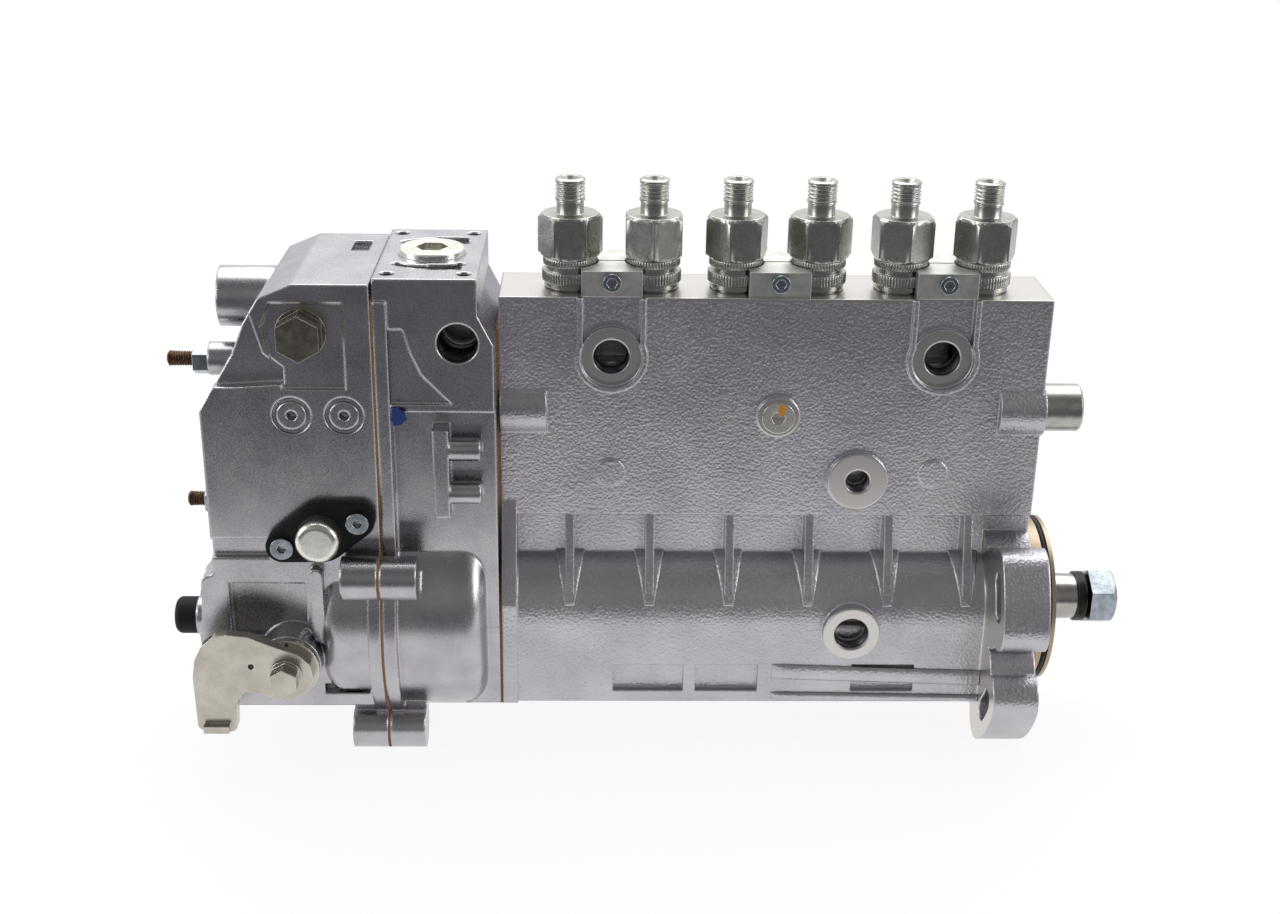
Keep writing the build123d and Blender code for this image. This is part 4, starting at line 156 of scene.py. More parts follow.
def cast_metal(name, base, shade, edge, grain, depth, stain, roughness, bevel, pebble, faced=()):
    """Cast aluminium: pebbled skin, cloudy tone, darker pits, edges painted brighter as wear and painted
    highlight, and faced seats.
    """
    material, shader, place = new_material(name)
    clouds = {"Vector": place, "Scale": 1 / stain, "Detail": 4.0}
    cloud = add_node(material, "ShaderNodeTexNoise", clouds).outputs["Fac"]
    tone = add_node(material, "ShaderNodeMapRange", {"Value": cloud, **cloud_range})
    tones = {0: tone.outputs[0], 6: paint(shade), 7: paint(base)}
    body = add_node(material, "ShaderNodeMix", tones, data_type="RGBA")
    grains = {"Vector": place, "Scale": 1 / grain, "Detail": 3.0}
    skin = add_node(material, "ShaderNodeTexNoise", grains).outputs["Fac"]
    pits = add_node(material, "ShaderNodeMapRange", {"Value": skin, **pit_range, "To Min": 1 - pebble})
    tones = {0: pits.outputs[0], 6: paint(shade), 7: body.outputs[2]}
    pitted = add_node(material, "ShaderNodeMix", tones, data_type="RGBA")
    rounded, mask = edge_glow(material, bevel, cast_edge_turn)
    # The edges are painted brighter, partly as wear and partly as a painted highlight along them.
    edge_wear_and_highlight = add_node(material, "ShaderNodeMath", {0: mask, 1: edge_wear_and_highlight_share}, operation="MULTIPLY")
    tones = {0: edge_wear_and_highlight.outputs[0], 6: pitted.outputs[2], 7: paint(edge)}
    colour = add_node(material, "ShaderNodeMix", tones, data_type="RGBA").outputs[2]
    sheens = {"To Min": roughness - cast_polish, "To Max": roughness + cast_haze}
    dullness = add_node(material, "ShaderNodeMapRange", {"Value": skin, **skin_range, **sheens}).outputs[0]
    pebbles = {"Vector": place, "Scale": 1 / (pebble_spread * grain)}
    cells = add_node(material, "ShaderNodeTexVoronoi", pebbles)
    heights = {0: pebble, 2: skin, 3: cells.outputs["Distance"]}
    relief = add_node(material, "ShaderNodeMix", heights, data_type="FLOAT")
    rise = {"Height": relief.outputs[0], "Distance": depth, "Strength": 1.0, "Normal": rounded}
    bump = add_node(material, "ShaderNodeBump", rise)
    if faced:
        cut = faced_discs(material, place, faced)
        tones = {0: cut, 6: colour, 7: paint(faced_tone)}
        colour = add_node(material, "ShaderNodeMix", tones, data_type="RGBA").outputs[2]
        sheens = {0: cut, 2: dullness, 3: faced_dullness}
        dullness = add_node(material, "ShaderNodeMix", sheens, data_type="FLOAT").outputs[0]
        uncut = add_node(material, "ShaderNodeMath", {0: 1.0, 1: cut}, operation="SUBTRACT")
        link(material, uncut.outputs[0], bump.inputs["Strength"])
    link(material, colour, shader.inputs["Base Color"])
    link(material, dullness, shader.inputs["Roughness"])
    link(material, bump.outputs["Normal"], shader.inputs["Normal"])
    shader.inputs["Metallic"].default_value = 1.0
    return material


def dress(material, *nodes):
    """Give CAD nodes this material."""
    for name in nodes:
        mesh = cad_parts[name].data
        mesh.materials.clear()
        mesh.materials.append(material)


front, drive_way, upward = (0, 1, 0), (1, 0, 0), (0, 0, 1)
milled_faces = (
    *[(seat, front, port_seat_radius) for seat in (*port_seats, side_hole_seat)],
    (lock_plug_seat, front, lock_plug_seat_radius),
    (oil_port_seat, front, oil_port_seat_radius),
    *[(face, drive_way, flange_reach) for face in flange_faces],
    (head_middle, upward, head_reach),
)
sand_cast = cast_metal(
    "sand_cast_aluminium",
    housing_grey,
    housing_shade,
    housing_edge,
    grain=sand_grain,
    depth=sand_depth,
    stain=stain_width,
    roughness=0.36,
    bevel=housing_bevel,
    pebble=0.55,
    faced=milled_faces,
)
dress(sand_cast, "pump_housing")

# Governor housing and cover: pressure die-cast aluminium, much smoother than the sand casting.
# The steel die leaves a dense, slightly clouded skin with a faint flow texture, and edges that
# are rounded by tumbling and painted brighter, partly as polish and partly as a painted highlight.
die_grey = "BFBDC1"
die_shade = "AEACB1"
die_edge = "D2D0D4"
die_grain = 0.00045
die_depth = 0.00002
die_stain_width = 0.014
die_bevel = 0.0016
die_cast = cast_metal(
    "die_cast_aluminium",
    die_grey,
    die_shade,
    die_edge,
    grain=die_grain,
    depth=die_depth,
    stain=die_stain_width,
    roughness=0.27,
    bevel=die_bevel,
    pebble=0.15,
)
dress(die_cast, "governor_housing", "governor_cover")

# Drive end cover: a turned aluminium ring with a yellowish passivated skin.
# Turning leaves fine rings round the shaft's axis, drawn wider apart than the real ones to show.
turning_pitch = 0.0004
turning_depth = 0.000004
passivation_width = 0.012
passivated_tone = "B5A48C"
passivated_shade = "9C8E7B"
cream, cream_shader, cream_place = new_material("passivated_turned_aluminium")
parts = add_node(cream, "ShaderNodeSeparateXYZ", {"Vector": cream_place})
from_axis = {"X": 0.0, "Y": parts.outputs["Y"], "Z": parts.outputs["Z"]}
across = add_node(cream, "ShaderNodeCombineXYZ", from_axis)
reach = add_node(cream, "ShaderNodeVectorMath", {0: across.outputs[0]}, operation="LENGTH")
around = {0: reach.outputs["Value"], 1: 2 * math.pi / turning_pitch}
turns = add_node(cream, "ShaderNodeMath", around, operation="MULTIPLY")
wave = add_node(cream, "ShaderNodeMath", {0: turns.outputs[0]}, operation="SINE")
rings = {"Height": wave.outputs[0], "Distance": turning_depth, "Strength": 0.6}
cream_bump = add_node(cream, "ShaderNodeBump", rings)
clouds = {"Vector": cream_place, "Scale": 1 / passivation_width, "Detail": 3.0}
cream_cloud = add_node(cream, "ShaderNodeTexNoise", clouds)
tones = {0: cream_cloud.outputs["Fac"], 6: paint(passivated_shade), 7: paint(passivated_tone)}
cream_mix = add_node(cream, "ShaderNodeMix", tones, data_type="RGBA")
link(cream, cream_mix.outputs[2], cream_shader.inputs["Base Color"])
link(cream, cream_bump.outputs["Normal"], cream_shader.inputs["Normal"])
cream_shader.inputs["Metallic"].default_value = 0.85
cream_shader.inputs["Roughness"].default_value = 0.38
dress(cream, "drive_end_cover")

# Plated and treated steel: bolts, nuts, studs, clamps, caps and the lever.
# Each has a mottled plating, clouds a few millimetres wide, edges rubbed brighter, and the fine
# grain of tumbling, drawn as coarse as it needs to show.
tumbled_grain = 0.0003
tumbled_depth = 0.00001
rubbed_radius = 0.0004
rubbed_turn = 0.2
plating_range = {"From Min": 0.36, "From Max": 0.64}
steel_polish = 0.05
steel_haze = 0.07


def treated_steel(name, base, shade, edge, roughness, mottle=0.004):
    """Steel with a mottled plating and rubbed edges."""
    material, shader, place = new_material(name)
    mottles = {"Vector": place, "Scale": 1 / mottle, "Detail": 5.0, "Roughness": 0.6}
    cloud = add_node(material, "ShaderNodeTexNoise", mottles).outputs["Fac"]
    tone = add_node(material, "ShaderNodeMapRange", {"Value": cloud, **plating_range})
    tones = {0: tone.outputs[0], 6: paint(shade), 7: paint(base)}
    body = add_node(material, "ShaderNodeMix", tones, data_type="RGBA")
    rounded, mask = edge_glow(material, rubbed_radius, rubbed_turn)
    tones = {0: mask, 6: body.outputs[2], 7: paint(edge)}
    rubbed = add_node(material, "ShaderNodeMix", tones, data_type="RGBA")
    grains = {"Vector": place, "Scale": 1 / tumbled_grain, "Detail": 2.0}
    fine = add_node(material, "ShaderNodeTexNoise", grains).outputs["Fac"]
    sheens = {"To Min": roughness - steel_polish, "To Max": roughness + steel_haze}
    dullness = add_node(material, "ShaderNodeMapRange", {"Value": fine, **skin_range, **sheens})
    rise = {"Height": fine, "Distance": tumbled_depth, "Strength": 0.7, "Normal": rounded}
    bump = add_node(material, "ShaderNodeBump", rise)
    link(material, rubbed.outputs[2], shader.inputs["Base Color"])
    link(material, dullness.outputs[0], shader.inputs["Roughness"])
    link(material, bump.outputs["Normal"], shader.inputs["Normal"])
    shader.inputs["Metallic"].default_value = 1.0
    return material


green_zinc = treated_steel("zinc_plate_grey_green", "B6B6B0", "A6A6A0", "DCDCD8", 0.28)
blue_zinc = treated_steel("zinc_plate_bright", "A9B0B6", "868D94", "E2E6EA", 0.26)
yellow_zinc = treated_steel("zinc_plate_yellowish", "F0EEE8", "DEDBD1", "FAF9F4", 0.26)
brown_steel = treated_steel("phosphated_steel_brown", "A09A8E", "7E796E", "C2BBAB", 0.32, mottle=0.003)
black_steel = treated_steel("blackened_steel", "3A393A", "232223", "77767A", 0.40)
nickel = treated_steel("pale_nickel_plate", "C6C1B8", "B4AEA4", "ECE9E2", 0.27, mottle=0.009)
rusty = treated_steel("rusted_stud_steel", "6A4A33", "2B211C", "93806C", 0.55, mottle=0.0016)
ground_steel = treated_steel("ground_steel", "B4B2AE", "9A9894", "E4E2DE", 0.22, mottle=0.010)
spring_wire = treated_steel("oiled_spring_wire", "6C6A66", "4F4D4A", "9A9894", 0.32)
weight_iron = treated_steel("weight_cast_iron", "4C4A49", "353433", "7B7977", 0.52, mottle=0.003)
clamp_zinc = treated_steel("zinc_plate_matt_silver", "D2D2CE", "BDBDB8", "E8E8E5", 0.44, mottle=0.005)
dress(clamp_zinc, "clamp_jaws")
dress(green_zinc, "rack_guide_cap", "base_cover")
dress(blue_zinc, "shaft_nut", "stud_nuts", "carrier_nut")
dress(blue_zinc, "flange_screws", "drive_cover_screws", "clamp_screws")
dress(yellow_zinc, "pad_plug", "shutoff_cap", "gallery_plug")
dress(brown_steel, "cover_hex_plug")
dress(nickel, "control_lever", "lever_disc", "lever_bolt", "lever_shaft")
dress(
    black_steel,
    "lock_washer",
    "spring_seats",
    "roller_tappets",
    "woodruff_key",
    "fulcrum_lever",
    "flyweight_carrier",
    "cover_bolts",
    "base_cover_screws",
)
dress(
    ground_steel,
    "control_rack",
    "barrels",
    "delivery_valves",
    "tappet_rollers",
    "camshaft",
    "bearing_outer_rings",
    "bearing_inner_rings",
    "bearing_rollers",
    "flyweight_pins",
    "fulcrum_pin",
    "governor_sleeve",
    "end_disc",
)
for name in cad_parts:
    if name.startswith("pumping_element"):
        dress(ground_steel, name)
dress(spring_wire, "valve_springs", "plunger_springs", "governor_spring")
dress(weight_iron, "flyweight_upper", "flyweight_lower")

# Gaskets: pressed fibre sheet, ochre brown, a little swollen with oil at the edge.
# The fibres lie in tufts a little over half a millimetre wide.
fibre_tuft = 0.0006
fibre_rise = 0.00005
fibre_tone = "A9834F"
fibre_shade = "6E4A2A"
fibre, fibre_shader, fibre_place = new_material("gasket_fibre")
fibres = {"Vector": fibre_place, "Scale": 1 / fibre_tuft, "Detail": 4.0}
tufts = add_node(fibre, "ShaderNodeTexNoise", fibres).outputs["Fac"]
tones = {0: tufts, 6: paint(fibre_shade), 7: paint(fibre_tone)}
fibre_mix = add_node(fibre, "ShaderNodeMix", tones, data_type="RGBA")
fibre_bump = add_node(fibre, "ShaderNodeBump", {"Height": tufts, "Distance": fibre_rise})
link(fibre, fibre_mix.outputs[2], fibre_shader.inputs["Base Color"])
link(fibre, fibre_bump.outputs["Normal"], fibre_shader.inputs["Normal"])
fibre_shader.inputs["Roughness"].default_value = 0.85
dress(fibre, "governor_gasket", "cover_gasket")

# Black pieces: the moulded shut-off flange and vent cap, the O-ring and the lip seal.
# Moulded nylon has a fine spark texture with a soft sheen, and the rubber is duller.
black_rise = 0.00002
black_shade = "08080A"
black_specular = 0.3
for label, colour, roughness, grain, nodes in (
    ("moulded_nylon_black", "0C0C0E", 0.62, 0.0005, ("shutoff_flange", "vent_cap")),
    ("nitrile_rubber_black", "141415", 0.50, 0.0008, ("pilot_o_ring", "shaft_seal")),
):
    black, black_shader, black_place = new_material(label)
    grains = {"Vector": black_place, "Scale": 1 / grain, "Detail": 3.0}
    sparks = add_node(black, "ShaderNodeTexNoise", grains).outputs["Fac"]
    tones = {0: sparks, 6: paint(black_shade), 7: paint(colour)}
    black_mix = add_node(black, "ShaderNodeMix", tones, data_type="RGBA")
    black_bump = add_node(black, "ShaderNodeBump", {"Height": sparks, "Distance": black_rise})
    link(black, black_mix.outputs[2], black_shader.inputs["Base Color"])
    link(black, black_bump.outputs["Normal"], black_shader.inputs["Normal"])
    black_shader.inputs["Roughness"].default_value = roughness
    black_shader.inputs["Specular IOR Level"].default_value = black_specular
    dress(black, *nodes)

# Delivery valve holders: turned from hexagon bar and zinc plated, screwed into the head.
# Each has two knurled collars that the clamps grip, a hexagon for the spanner, and a rolled
# M12 x 1.5 thread with a cone seat for the pipe's union nut.
head_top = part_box("clamp_jaws")[0][2]
holder_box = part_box("delivery_valve_holders")
holder_pitch = 0.032
holder_first = -0.186
holder_turn_shares = (0.5, 0.0, 0.72, 0.5, 0.1, 0.6)
holder_steps = 180
holder_foot_radius = 0.0043
holder_body_radius = 0.0090
body_end = head_top + 0.0006
lower_knurl = (head_top + 0.0026, head_top + 0.0070)
upper_knurl = (head_top + 0.0090, head_top + 0.0120)
collar_radius = 0.0109
upper_collar_radius = 0.0105
collar_groove = 0.0094
knurl_teeth = 60
knurl_depth = 0.0004
knurl_lead = 0.0003
hex_flat_reach = 0.01075
hex_corner = hex_flat_reach / math.cos(math.pi / 6)
union_thread = (head_top + 0.0338, head_top + 0.0418)
union_radius = 0.0057
union_pitch = 0.0015
union_depth = 0.0008
union_step = 0.00018
# Profiles: each point is (height above the head's top, radius).
hex_profile = (
    (0.0121, 0.0106),
    (0.0128, 0.0114),
    (0.0136, hex_corner),
    (0.0200, hex_corner),
    (0.0269, hex_corner),
    (0.0279, 0.0116),
    (0.0288, 0.0106),
)
neck_profile = ((0.0288, 0.0054), (0.0292, 0.0052), (0.0334, 0.0052), (0.0338, 0.0049))
seat_profile = ((0.0424, 0.0049), (0.0424, 0.0036), (0.0402, 0.0016), (0.0300, 0.0016))


def ridge(phase):
    """A triangle wave from 0 to 1 and back over each whole phase."""
    return 1 - abs(2 * (phase % 1.0) - 1)


def hexagon(angle, reach, limit):
    """Distance to a hexagon's side at this angle, cut off by a turned limit."""
    side = (angle + math.pi / 6) % (math.pi / 3) - math.pi / 6
    return min(reach / math.cos(side), limit)


def skin_over(mesh, rings, closed_loop=False):
    """Join rings of points with faces, and close the ends or join the last ring to the first."""
    pairs = list(zip(rings, rings[1:]))
    if closed_loop:
        pairs.append((rings[-1], rings[0]))
    for one, other in pairs:
        for k in range(len(one)):
            after = (k + 1) % len(one)
            mesh.faces.new((one[k], one[after], other[after], other[k]))
    if not closed_loop:
        mesh.faces.new(list(reversed(rings[0])))
        mesh.faces.new(rings[-1])


def turned(mesh, rows, steps, place, closed_loop=False):
    """Add a turned form to mesh: rows are (height, radius or function of the angle)."""
    rings = []
    for height, radius in rows:
        ring = []
        for k in range(steps):
            angle = 2 * math.pi * k / steps
            reach = radius(angle) if callable(radius) else radius
            point = Vector((reach * math.cos(angle), reach * math.sin(angle), height))
            ring.append(mesh.verts.new(place @ point))
        rings.append(ring)
    skin_over(mesh, rings, closed_loop)


def shape_from(name, mesh, material, smooth_angle=0.6):
    """Turn a bmesh into an object with smooth faces and sharp corners."""
    bmesh.ops.recalc_face_normals(mesh, faces=mesh.faces)
    data = bpy.data.meshes.new(name)
    mesh.to_mesh(data)
    mesh.free()
    data.materials.append(material)
    data.shade_smooth()
    data.set_sharp_from_angle(angle=smooth_angle)
    shape = bpy.data.objects.new(name, data)
    bpy.context.collection.objects.link(shape)
    return shape


def piece_from(name, mesh, material, body):
    """Turn a bmesh into a piece that rides on a body."""
    piece = shape_from(name, mesh, material)
    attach(piece, body)
    return piece


def new_tree(name, sockets):
    """A Geometry Nodes tree with named inputs, and its input and output nodes."""
    tree = bpy.data.node_groups.new(name, "GeometryNodeTree")
    tree.interface.new_socket("Geometry", in_out="INPUT", socket_type="NodeSocketGeometry")
    for label, kind in sockets:
        tree.interface.new_socket(label, in_out="INPUT", socket_type=kind)
    tree.interface.new_socket("Geometry", in_out="OUTPUT", socket_type="NodeSocketGeometry")
    return tree, tree.nodes.new("NodeGroupInput"), tree.nodes.new("NodeGroupOutput")


def grow(base, tree, values):
    """Run a tree on an object and keep what it makes as the object's plain mesh."""
    modifier = base.modifiers.new(tree.name, "NODES")
    modifier.node_group = tree
    for item in tree.interface.items_tree:
        if item.in_out == "INPUT" and item.name in values:
            modifier[item.identifier] = values[item.name]
    bpy.context.view_layer.update()
    evaluated = base.evaluated_get(bpy.context.evaluated_depsgraph_get())
    made = bpy.data.meshes.new_from_object(evaluated)
    base.modifiers.clear()
    base.data = made


def thread_rows(start, end, radius, pitch, depth, step):
    """Rings of a screw thread, either way along the axis, that fades in and out over a quarter."""
    count = max(2, round(abs(end - start) / step))
    rows = []
    for i in range(count + 1):
        height = start + (end - start) * i / count
        fade = min(1.0, 4 * i / count, 4 * (count - i) / count)

        def cut(angle, height=height, fade=fade):
            return radius - fade * depth * ridge(height / pitch - angle / (2 * math.pi))

        rows.append((height, cut))
    return rows


def knurl_rows(start, end, radius):
    """Rings of a straight knurl with short turned ends."""
    root = radius - knurl_depth

    def toothed(angle):
        return radius - knurl_depth * ridge(knurl_teeth * angle / (2 * math.pi))

    return [(start, root), (start + knurl_lead, toothed), (end - knurl_lead, toothed), (end, root)]


holder_rows = [
    (holder_box[0][2], holder_foot_radius),
    (holder_box[0][2], holder_body_radius),
    (body_end, holder_body_radius),
    (body_end, upper_collar_radius - knurl_depth),
    (lower_knurl[0], upper_collar_radius - knurl_depth),
    *knurl_rows(*lower_knurl, collar_radius),
    (lower_knurl[1], collar_groove),
    (upper_knurl[0], collar_groove),
    *knurl_rows(*upper_knurl, upper_collar_radius),
]
for height, limit in hex_profile:
    holder_rows.append((head_top + height, lambda a, m=limit: hexagon(a, hex_flat_reach, m)))
holder_rows += [(head_top + height, radius) for height, radius in neck_profile]
holder_rows += thread_rows(*union_thread, union_radius, union_pitch, union_depth, union_step)
holder_rows += [(head_top + height, radius) for height, radius in seat_profile]
holder_mesh = bmesh.new()
turned(holder_mesh, holder_rows, holder_steps, Matrix.Identity(4))
one_holder = shape_from("one_valve_holder", holder_mesh, green_zinc)

row, row_in, row_out = new_tree(
    "row_of_pieces",
    (
        ("Piece", "NodeSocketObject"),
        ("Count", "NodeSocketInt"),
        ("First", "NodeSocketVector"),
        ("Pitch", "NodeSocketVector"),
        ("Coat", "NodeSocketMaterial"),
    ),
)
line = row.nodes.new("GeometryNodeMeshLine")
place = row.nodes.new("GeometryNodeObjectInfo")
turn_name = row.nodes.new("GeometryNodeInputNamedAttribute")
turn_name.data_type = "FLOAT"
turn_name.inputs["Name"].default_value = "turn"
index = row.nodes.new("GeometryNodeInputIndex")
turn_value = row.nodes.new("GeometryNodeSampleIndex")
turn_value.data_type = "FLOAT"
turn_value.domain = "POINT"
turn_angles = row.nodes.new("ShaderNodeCombineXYZ")
turn_rotation = row.nodes.new("FunctionNodeEulerToRotation")
stood = row.nodes.new("GeometryNodeInstanceOnPoints")
realised = row.nodes.new("GeometryNodeRealizeInstances")
coated = row.nodes.new("GeometryNodeSetMaterial")
for source, target in (
    (row_in.outputs["Count"], line.inputs["Count"]),
    (row_in.outputs["First"], line.inputs["Start Location"]),
    (row_in.outputs["Pitch"], line.inputs["Offset"]),
    (row_in.outputs["Piece"], place.inputs["Object"]),
    (row_in.outputs["Geometry"], turn_value.inputs["Geometry"]),
    (turn_name.outputs["Attribute"], turn_value.inputs["Value"]),
    (index.outputs["Index"], turn_value.inputs["Index"]),
    (turn_value.outputs["Value"], turn_angles.inputs["Z"]),
    (turn_angles.outputs[0], turn_rotation.inputs[0]),
    (line.outputs["Mesh"], stood.inputs["Points"]),
    (place.outputs["Geometry"], stood.inputs["Instance"]),
    (turn_rotation.outputs[0], stood.inputs["Rotation"]),
    (stood.outputs["Instances"], realised.inputs["Geometry"]),
    (realised.outputs["Geometry"], coated.inputs["Geometry"]),
    (row_in.outputs["Coat"], coated.inputs["Material"]),
    (coated.outputs["Geometry"], row_out.inputs["Geometry"]),
):
    row.links.new(source, target)


def lined_up(name, one, turns, first, pitch, coat):
    """Copies of one object in a row, each turned about its own upright axis."""
    data = bpy.data.meshes.new(name)
    data.from_pydata([(0.0, 0.0, 0.0)] * len(turns), [], [])
    data.attributes.new("turn", "FLOAT", "POINT").data.foreach_set("value", turns)
    whole = bpy.data.objects.new(name, data)
    bpy.context.collection.objects.link(whole)
    values = {
        "Piece": one,
        "Count": len(turns),
        "First": (first, 0.0, 0.0),
        "Pitch": (pitch, 0.0, 0.0),
        "Coat": coat,
    }
    grow(whole, row, values)
    return whole


holder_angles = [share * math.pi / 3 for share in holder_turn_shares]
holder_pieces = lined_up("valve_holders", one_holder, holder_angles, holder_first, holder_pitch, green_zinc)
bpy.data.objects.remove(one_holder)
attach(holder_pieces, "pump")
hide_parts("delivery_valve_holders")

# Rib roots: where each rib of the housing runs out on the cam chamber it spreads to both sides,
# part of the same sand casting, wide at the neck and gone at the rib's toe.
chest_radius = 0.0275
root_angles = (68.0, 17.0)
root_half_top = 0.0064
root_half_toe = 0.0019
root_proud = 0.0010
root_edge = 0.0008
shoulder_share = 0.7
root_rows = 24
roots = bmesh.new()
root_rings = []
for i in range(root_rows + 1):
    share = i / root_rows
    angle = math.radians(root_angles[0] + (root_angles[1] - root_angles[0]) * share)
    half = root_half_top + (root_half_toe - root_half_top) * share
    proud = root_proud * (1 - share**3)
    section = (
        (-half, -root_proud),
        (-half, 0.0),
        (-half + root_edge / 3, shoulder_share * proud),
        (-half + root_edge, proud),
        (half - root_edge, proud),
        (half - root_edge / 3, shoulder_share * proud),
        (half, 0.0),
        (half, -root_proud),
    )
    ring = []
    for x, rise in section:
        reach = chest_radius + rise
        ring.append(roots.verts.new((x, -reach * math.cos(angle), reach * math.sin(angle))))
    root_rings.append(ring)
skin_over(roots, root_rings)
one_root = shape_from("one_rib_root", roots, sand_cast)
for label, turned_by in (("rib_roots_front", 0.0), ("rib_roots_back", math.pi)):
    root_turns = [turned_by] * len(holder_turn_shares)
    root_row = lined_up(label, one_root, root_turns, holder_first, holder_pitch, sand_cast)
    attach(root_row, "pump")
bpy.data.objects.remove(one_root)

# Foot rails: two rounded strips cast along the housing's foot on the fuel side, from its middle to
# the flange, where they stiffen the sole. They drop a little toward the flange.
side_face = 0.0275
rail_proud = 0.0014
rail_root = 0.0028
rail_start = -0.1036
rail_end = -0.0182
rail_fade = 0.005
rail_fullness = 0.6
rail_rows = 40
rail_steps = 10
# Each rail is (height at its start, height at its end, half its width).
rail_lines = ((-0.0209, -0.0238, 0.0034), (-0.0320, -0.0333, 0.0015))
rails = bmesh.new()
for start_height, end_height, half_width in rail_lines:
    rail_rings = []
    for i in range(rail_rows + 1):
        share = i / rail_rows
        x = rail_start + (rail_end - rail_start) * share
        middle = start_height + (end_height - start_height) * share
        fade = math.sqrt(min(1.0, (x - rail_start) / rail_fade))
        ring = [
            rails.verts.new((x, rail_root - side_face, middle + half_width)),
            rails.verts.new((x, rail_root - side_face, middle - half_width)),
        ]
        for k in range(rail_steps + 1):
            angle = math.pi * k / rail_steps
            out = rail_proud * fade * math.sin(angle) ** rail_fullness if 0 < k < rail_steps else 0.0
            ring.append(rails.verts.new((x, -side_face - out, middle - half_width * math.cos(angle))))
        rail_rings.append(ring)
    skin_over(rails, rail_rings)
piece_from("foot_rails", rails, sand_cast, "pump")

# Stop studs: rolled M6 threads, rusted where they stand out in the weather.
# The lock nuts sit on them against the cover's bosses.
stud_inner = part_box("stop_studs")[1][0]
stud_radius = 0.0030
stud_point = ((0.0, 0.0021), (0.0006, 0.0027))
stud_pitch = 0.0010
stud_depth = 0.00055
stud_step = 0.00012
stud_steps = 96
stud_run_out = 0.0005
stud_plain_from = -0.326
stud_end_chamfer = 0.0004
stud_end_radius = 0.0026
# Each stud is (where its tip stands, its height).
stud_places = ((-0.3436, 0.103), (-0.3405, 0.043))
studs = bmesh.new()
for tip, z in stud_places:
    lay = Matrix.Translation((tip, 0, z)) @ Matrix.Rotation(math.pi / 2, 4, "Y")
    plain = stud_plain_from - tip
    inner = stud_inner - tip
    rows = [
        *stud_point,
        *thread_rows(stud_point[1][0], plain, stud_radius, stud_pitch, stud_depth, stud_step),
        (plain + stud_run_out, stud_radius),
        (inner - stud_end_chamfer, stud_radius),
        (inner, stud_end_radius),
    ]
    turned(studs, rows, stud_steps, lay)
stud_piece = piece_from("threaded_studs", studs, rusty, "pump")
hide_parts("stop_studs")

# Tapped ports: threads cut in the castings by a tap, which leaves the aluminium bare and shiny.
# Their colour is painted dark grey instead, a painted shade for the inside of the holes.
# Each is a thin threaded lining just inside the hole's wall.
# Dark greys here are painted shade inside the holes, not the colour of the bare tapped metal.
tapped = treated_steel("tapped_aluminium_painted_shade", "77757B", "55535A", "B9B7BC", 0.35)
lining_play = 0.00002
crest_play = 0.0001
tapped_depth = 0.0007
tapped_lead = 0.0004
port_steps = 72
# Each port is (its mouth's x, y and z, its radius, the thread's pitch, how deep it is tapped).
tapped_ports = (
    (-0.170, -0.0156, 0.110, 0.0070, 0.0015, 0.0095),
    (-0.042, -0.0156, 0.110, 0.0070, 0.0015, 0.0095),
    (-0.072, -0.0180, 0.0594, 0.00485, 0.0010, 0.0080),
    (-0.0724, -0.0306, -0.002, 0.0070, 0.0015, 0.0070),
    (-0.2273, -0.0358, 0.1217, 0.00775, 0.0015, 0.0180),
)
ports = bmesh.new()
face_back = Matrix.Rotation(math.pi / 2, 4, "X")
for x, y, z, radius, pitch, depth in tapped_ports:
    lay = Matrix.Translation((x, y, z)) @ face_back
    rows = [(-depth, radius - lining_play), (0.0, radius - lining_play)]
    rows += thread_rows(-tapped_lead, -depth, radius - crest_play, pitch, tapped_depth, pitch / 8)
    turned(ports, rows, port_steps, lay, closed_loop=True)
port_piece = piece_from("port_threads", ports, tapped, "pump")

# Paint marks from assembly: an orange dab on the lock plug, which shows if it has turned, and a
# blue dab over the governor's joint. Brushed on by hand, so their edges are uneven.
dab_thickness = 0.00012
dab_steps = 48
coarse_ragged = 0.10
fine_ragged = 0.07
rim_face = -0.0380


def paint_dab(mesh, middle, half_width, half_height, seed):
    """Add an uneven oval film of paint on a face that looks to the front."""
    films = []
    for reach in (0.0, dab_thickness):
        ring = []
        for k in range(dab_steps):
            angle = 2 * math.pi * k / dab_steps
            ragged = 1 + coarse_ragged * math.sin(3 * angle + seed)
            ragged += fine_ragged * math.sin(7 * angle + 2 * seed)
            across = half_width * ragged * math.cos(angle)
            along = half_height * ragged * math.sin(angle)
            ring.append(mesh.verts.new((middle[0] + across, middle[1] - reach, middle[2] + along)))
        films.append(ring)
    skin_over(mesh, films)


plug_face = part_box("gallery_plug")[0][1]
for label, colour, middle, half_width, half_height, seed, slot in (
    ("lock_plug_paint", "D9902A", (-0.1035, plug_face, 0.0896), 0.0015, 0.0025, 0.4, "zinc_yellow"),
    ("joint_paint", "16387C", (-0.2500, rim_face, 0.0935), 0.0028, 0.0036, 1.7, "diecast"),
):
    enamel, enamel_shader, _ = new_material(label + "_enamel")
    enamel_shader.inputs["Base Color"].default_value = paint(colour)
    enamel_shader.inputs["Roughness"].default_value = 0.45
    dab = bmesh.new()
    paint_dab(dab, middle, half_width, half_height, seed)
    piece_from(label, dab, enamel, "pump")

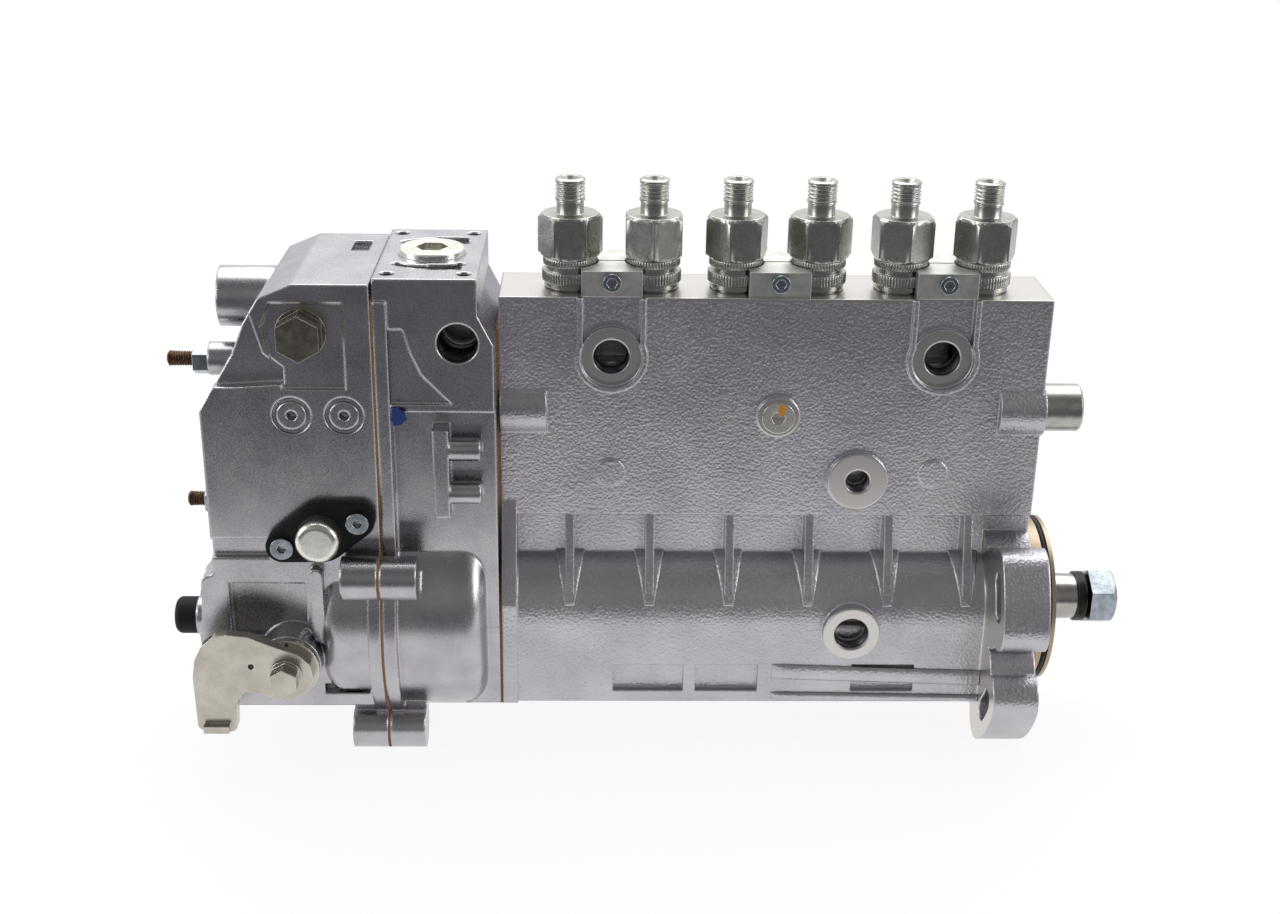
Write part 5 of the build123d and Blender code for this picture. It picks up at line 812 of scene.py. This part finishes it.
# Camera: it stands where the photograph was taken from, in front of the pump and above it.
# Its place and lens were solved from the row of holders, the flange and the housing's joints.
film_width = 36.0
near_clip = 0.01
camera_place = Vector((-0.175889, -0.635842, 0.323694))
camera_forward = Vector((0.02614, 0.92443, -0.38042)).normalized()
camera_right = Vector((0.99964, -0.02216, 0.01485)).normalized()
focal_length = 47.86
camera_data = bpy.data.cameras.new("photo_camera")
camera_data.lens = focal_length
camera_data.sensor_width = film_width
camera_data.clip_start = near_clip
camera = bpy.data.objects.new("photo_camera", camera_data)
camera_up = camera_right.cross(camera_forward)
turn = Matrix((camera_right, camera_up, -camera_forward)).transposed()
camera.matrix_world = Matrix.Translation(camera_place) @ turn.to_4x4()
bpy.context.collection.objects.link(camera)
scene = bpy.context.scene
scene.camera = camera
scene.view_settings.view_transform = "Standard"

# Studio table: a pale top under the pump that ends a little in front of it.
# To the camera and in mirror images it shows nearly white, and light falls on it as on paper.
table_height = cad_size[0][2]
table_front = -0.260
table_back = 0.7
table_half = 0.8
table_glow = 0.90
table_middle = (cad_size[0][0] + cad_size[1][0]) / 2
table_left = table_middle - table_half
table_right = table_middle + table_half
table_corners = [
    (table_left, table_front, table_height),
    (table_right, table_front, table_height),
    (table_right, table_back, table_height),
    (table_left, table_back, table_height),
]
table_mesh = bpy.data.meshes.new("table")
table_mesh.from_pydata(table_corners, [], [(0, 1, 2, 3)])
table = bpy.data.objects.new("table", table_mesh)
bpy.context.collection.objects.link(table)
white, white_shader, _ = new_material("table_white")
white_shader.inputs["Base Color"].default_value = paint("F2F2F2")
white_shader.inputs["Roughness"].default_value = 0.7
rays = add_node(white, "ShaderNodeLightPath", {})
bright = add_node(white, "ShaderNodeEmission", {"Color": (1, 1, 1, 1), "Strength": 1.0})
looks = {0: rays.outputs["Is Camera Ray"], 1: rays.outputs["Is Glossy Ray"]}
direct = add_node(white, "ShaderNodeMath", looks, operation="MAXIMUM")
seen = add_node(white, "ShaderNodeMath", {0: direct.outputs[0], 1: table_glow}, operation="MULTIPLY")
layers = {0: seen.outputs[0], 1: white_shader.outputs[0], 2: bright.outputs[0]}
blend = add_node(white, "ShaderNodeMixShader", layers)
link(white, blend.outputs[0], white.node_tree.nodes["Material Output"].inputs["Surface"])
table_mesh.materials.append(white)

# Room: bright at the height of its walls, greyer toward floor and ceiling, and dark on the
# camera's side. Each tone has its height, from 0 straight down to 1 straight up.
# The camera itself sees plain white behind the pump.
room_tones = (
    (0.40, (0.58, 0.57, 0.61, 1)),
    (0.52, (0.66, 0.65, 0.69, 1)),
    (0.64, (1.10, 1.10, 1.10, 1)),
    (0.76, (1.10, 1.10, 1.10, 1)),
    (0.95, (0.55, 0.55, 0.56, 1)),
)
dark_side = {"From Min": -0.45, "From Max": 0.10, "To Min": 0.25}
world = bpy.data.worlds.new("studio")
world.use_nodes = True
scene.world = world
direction = add_node(world, "ShaderNodeTexCoord", {})
split = add_node(world, "ShaderNodeSeparateXYZ", {0: direction.outputs["Generated"]})
heights = {"Value": split.outputs["Z"], "From Min": -1.0, "From Max": 1.0}
height = add_node(world, "ShaderNodeMapRange", heights)
ramp = add_node(world, "ShaderNodeValToRGB", {0: height.outputs[0]})
stops = ramp.color_ramp.elements
stops[0].position = room_tones[0][0]
stops[1].position = room_tones[-1][0]
for position, _ in room_tones[1:-1]:
    stops.new(position)
for stop, (_, tone) in zip(stops, room_tones):
    stop.color = tone
depth_share = add_node(world, "ShaderNodeMapRange", {"Value": split.outputs["Y"], **dark_side})
light = {0: ramp.outputs[0], "Scale": depth_share.outputs[0]}
lit = add_node(world, "ShaderNodeVectorMath", light, operation="SCALE")
path = add_node(world, "ShaderNodeLightPath", {})
tones = {0: path.outputs["Is Camera Ray"], 6: lit.outputs[0], 7: (1, 1, 1, 1)}
sky = add_node(world, "ShaderNodeMix", tones, data_type="RGBA")
background = world.node_tree.nodes["Background"]
background.inputs["Strength"].default_value = 1.0
link(world, sky.outputs[2], background.inputs["Color"])

# Lamps: a broad soft box above and behind the pump, and a small panel beyond each of its ends.
# All three look at the middle of the pump.
pump_middle = (table_middle, 0.0, 0.05)
overhead_place = (table_middle, 0.40, 0.95)
panel_reach = 0.9
panel_front = -0.25
panel_height = 0.35
panel_size = 0.5


def soft_box(name, place, width, depth, power):
    """An area lamp that looks at the pump."""
    data = bpy.data.lights.new(name, "AREA")
    data.shape = "RECTANGLE"
    data.size = width
    data.size_y = depth
    data.energy = power
    lamp = bpy.data.objects.new(name, data)
    lamp.location = place
    lamp.rotation_euler = (Vector(pump_middle) - Vector(place)).to_track_quat("-Z", "Y").to_euler()
    bpy.context.collection.objects.link(lamp)


soft_box("overhead", overhead_place, width=1.3, depth=0.9, power=12.0)
for label, reach in (("left_panel", -panel_reach), ("right_panel", panel_reach)):
    panel_place = (table_middle + reach, panel_front, panel_height)
    soft_box(label, panel_place, width=panel_size, depth=panel_size, power=2.4)
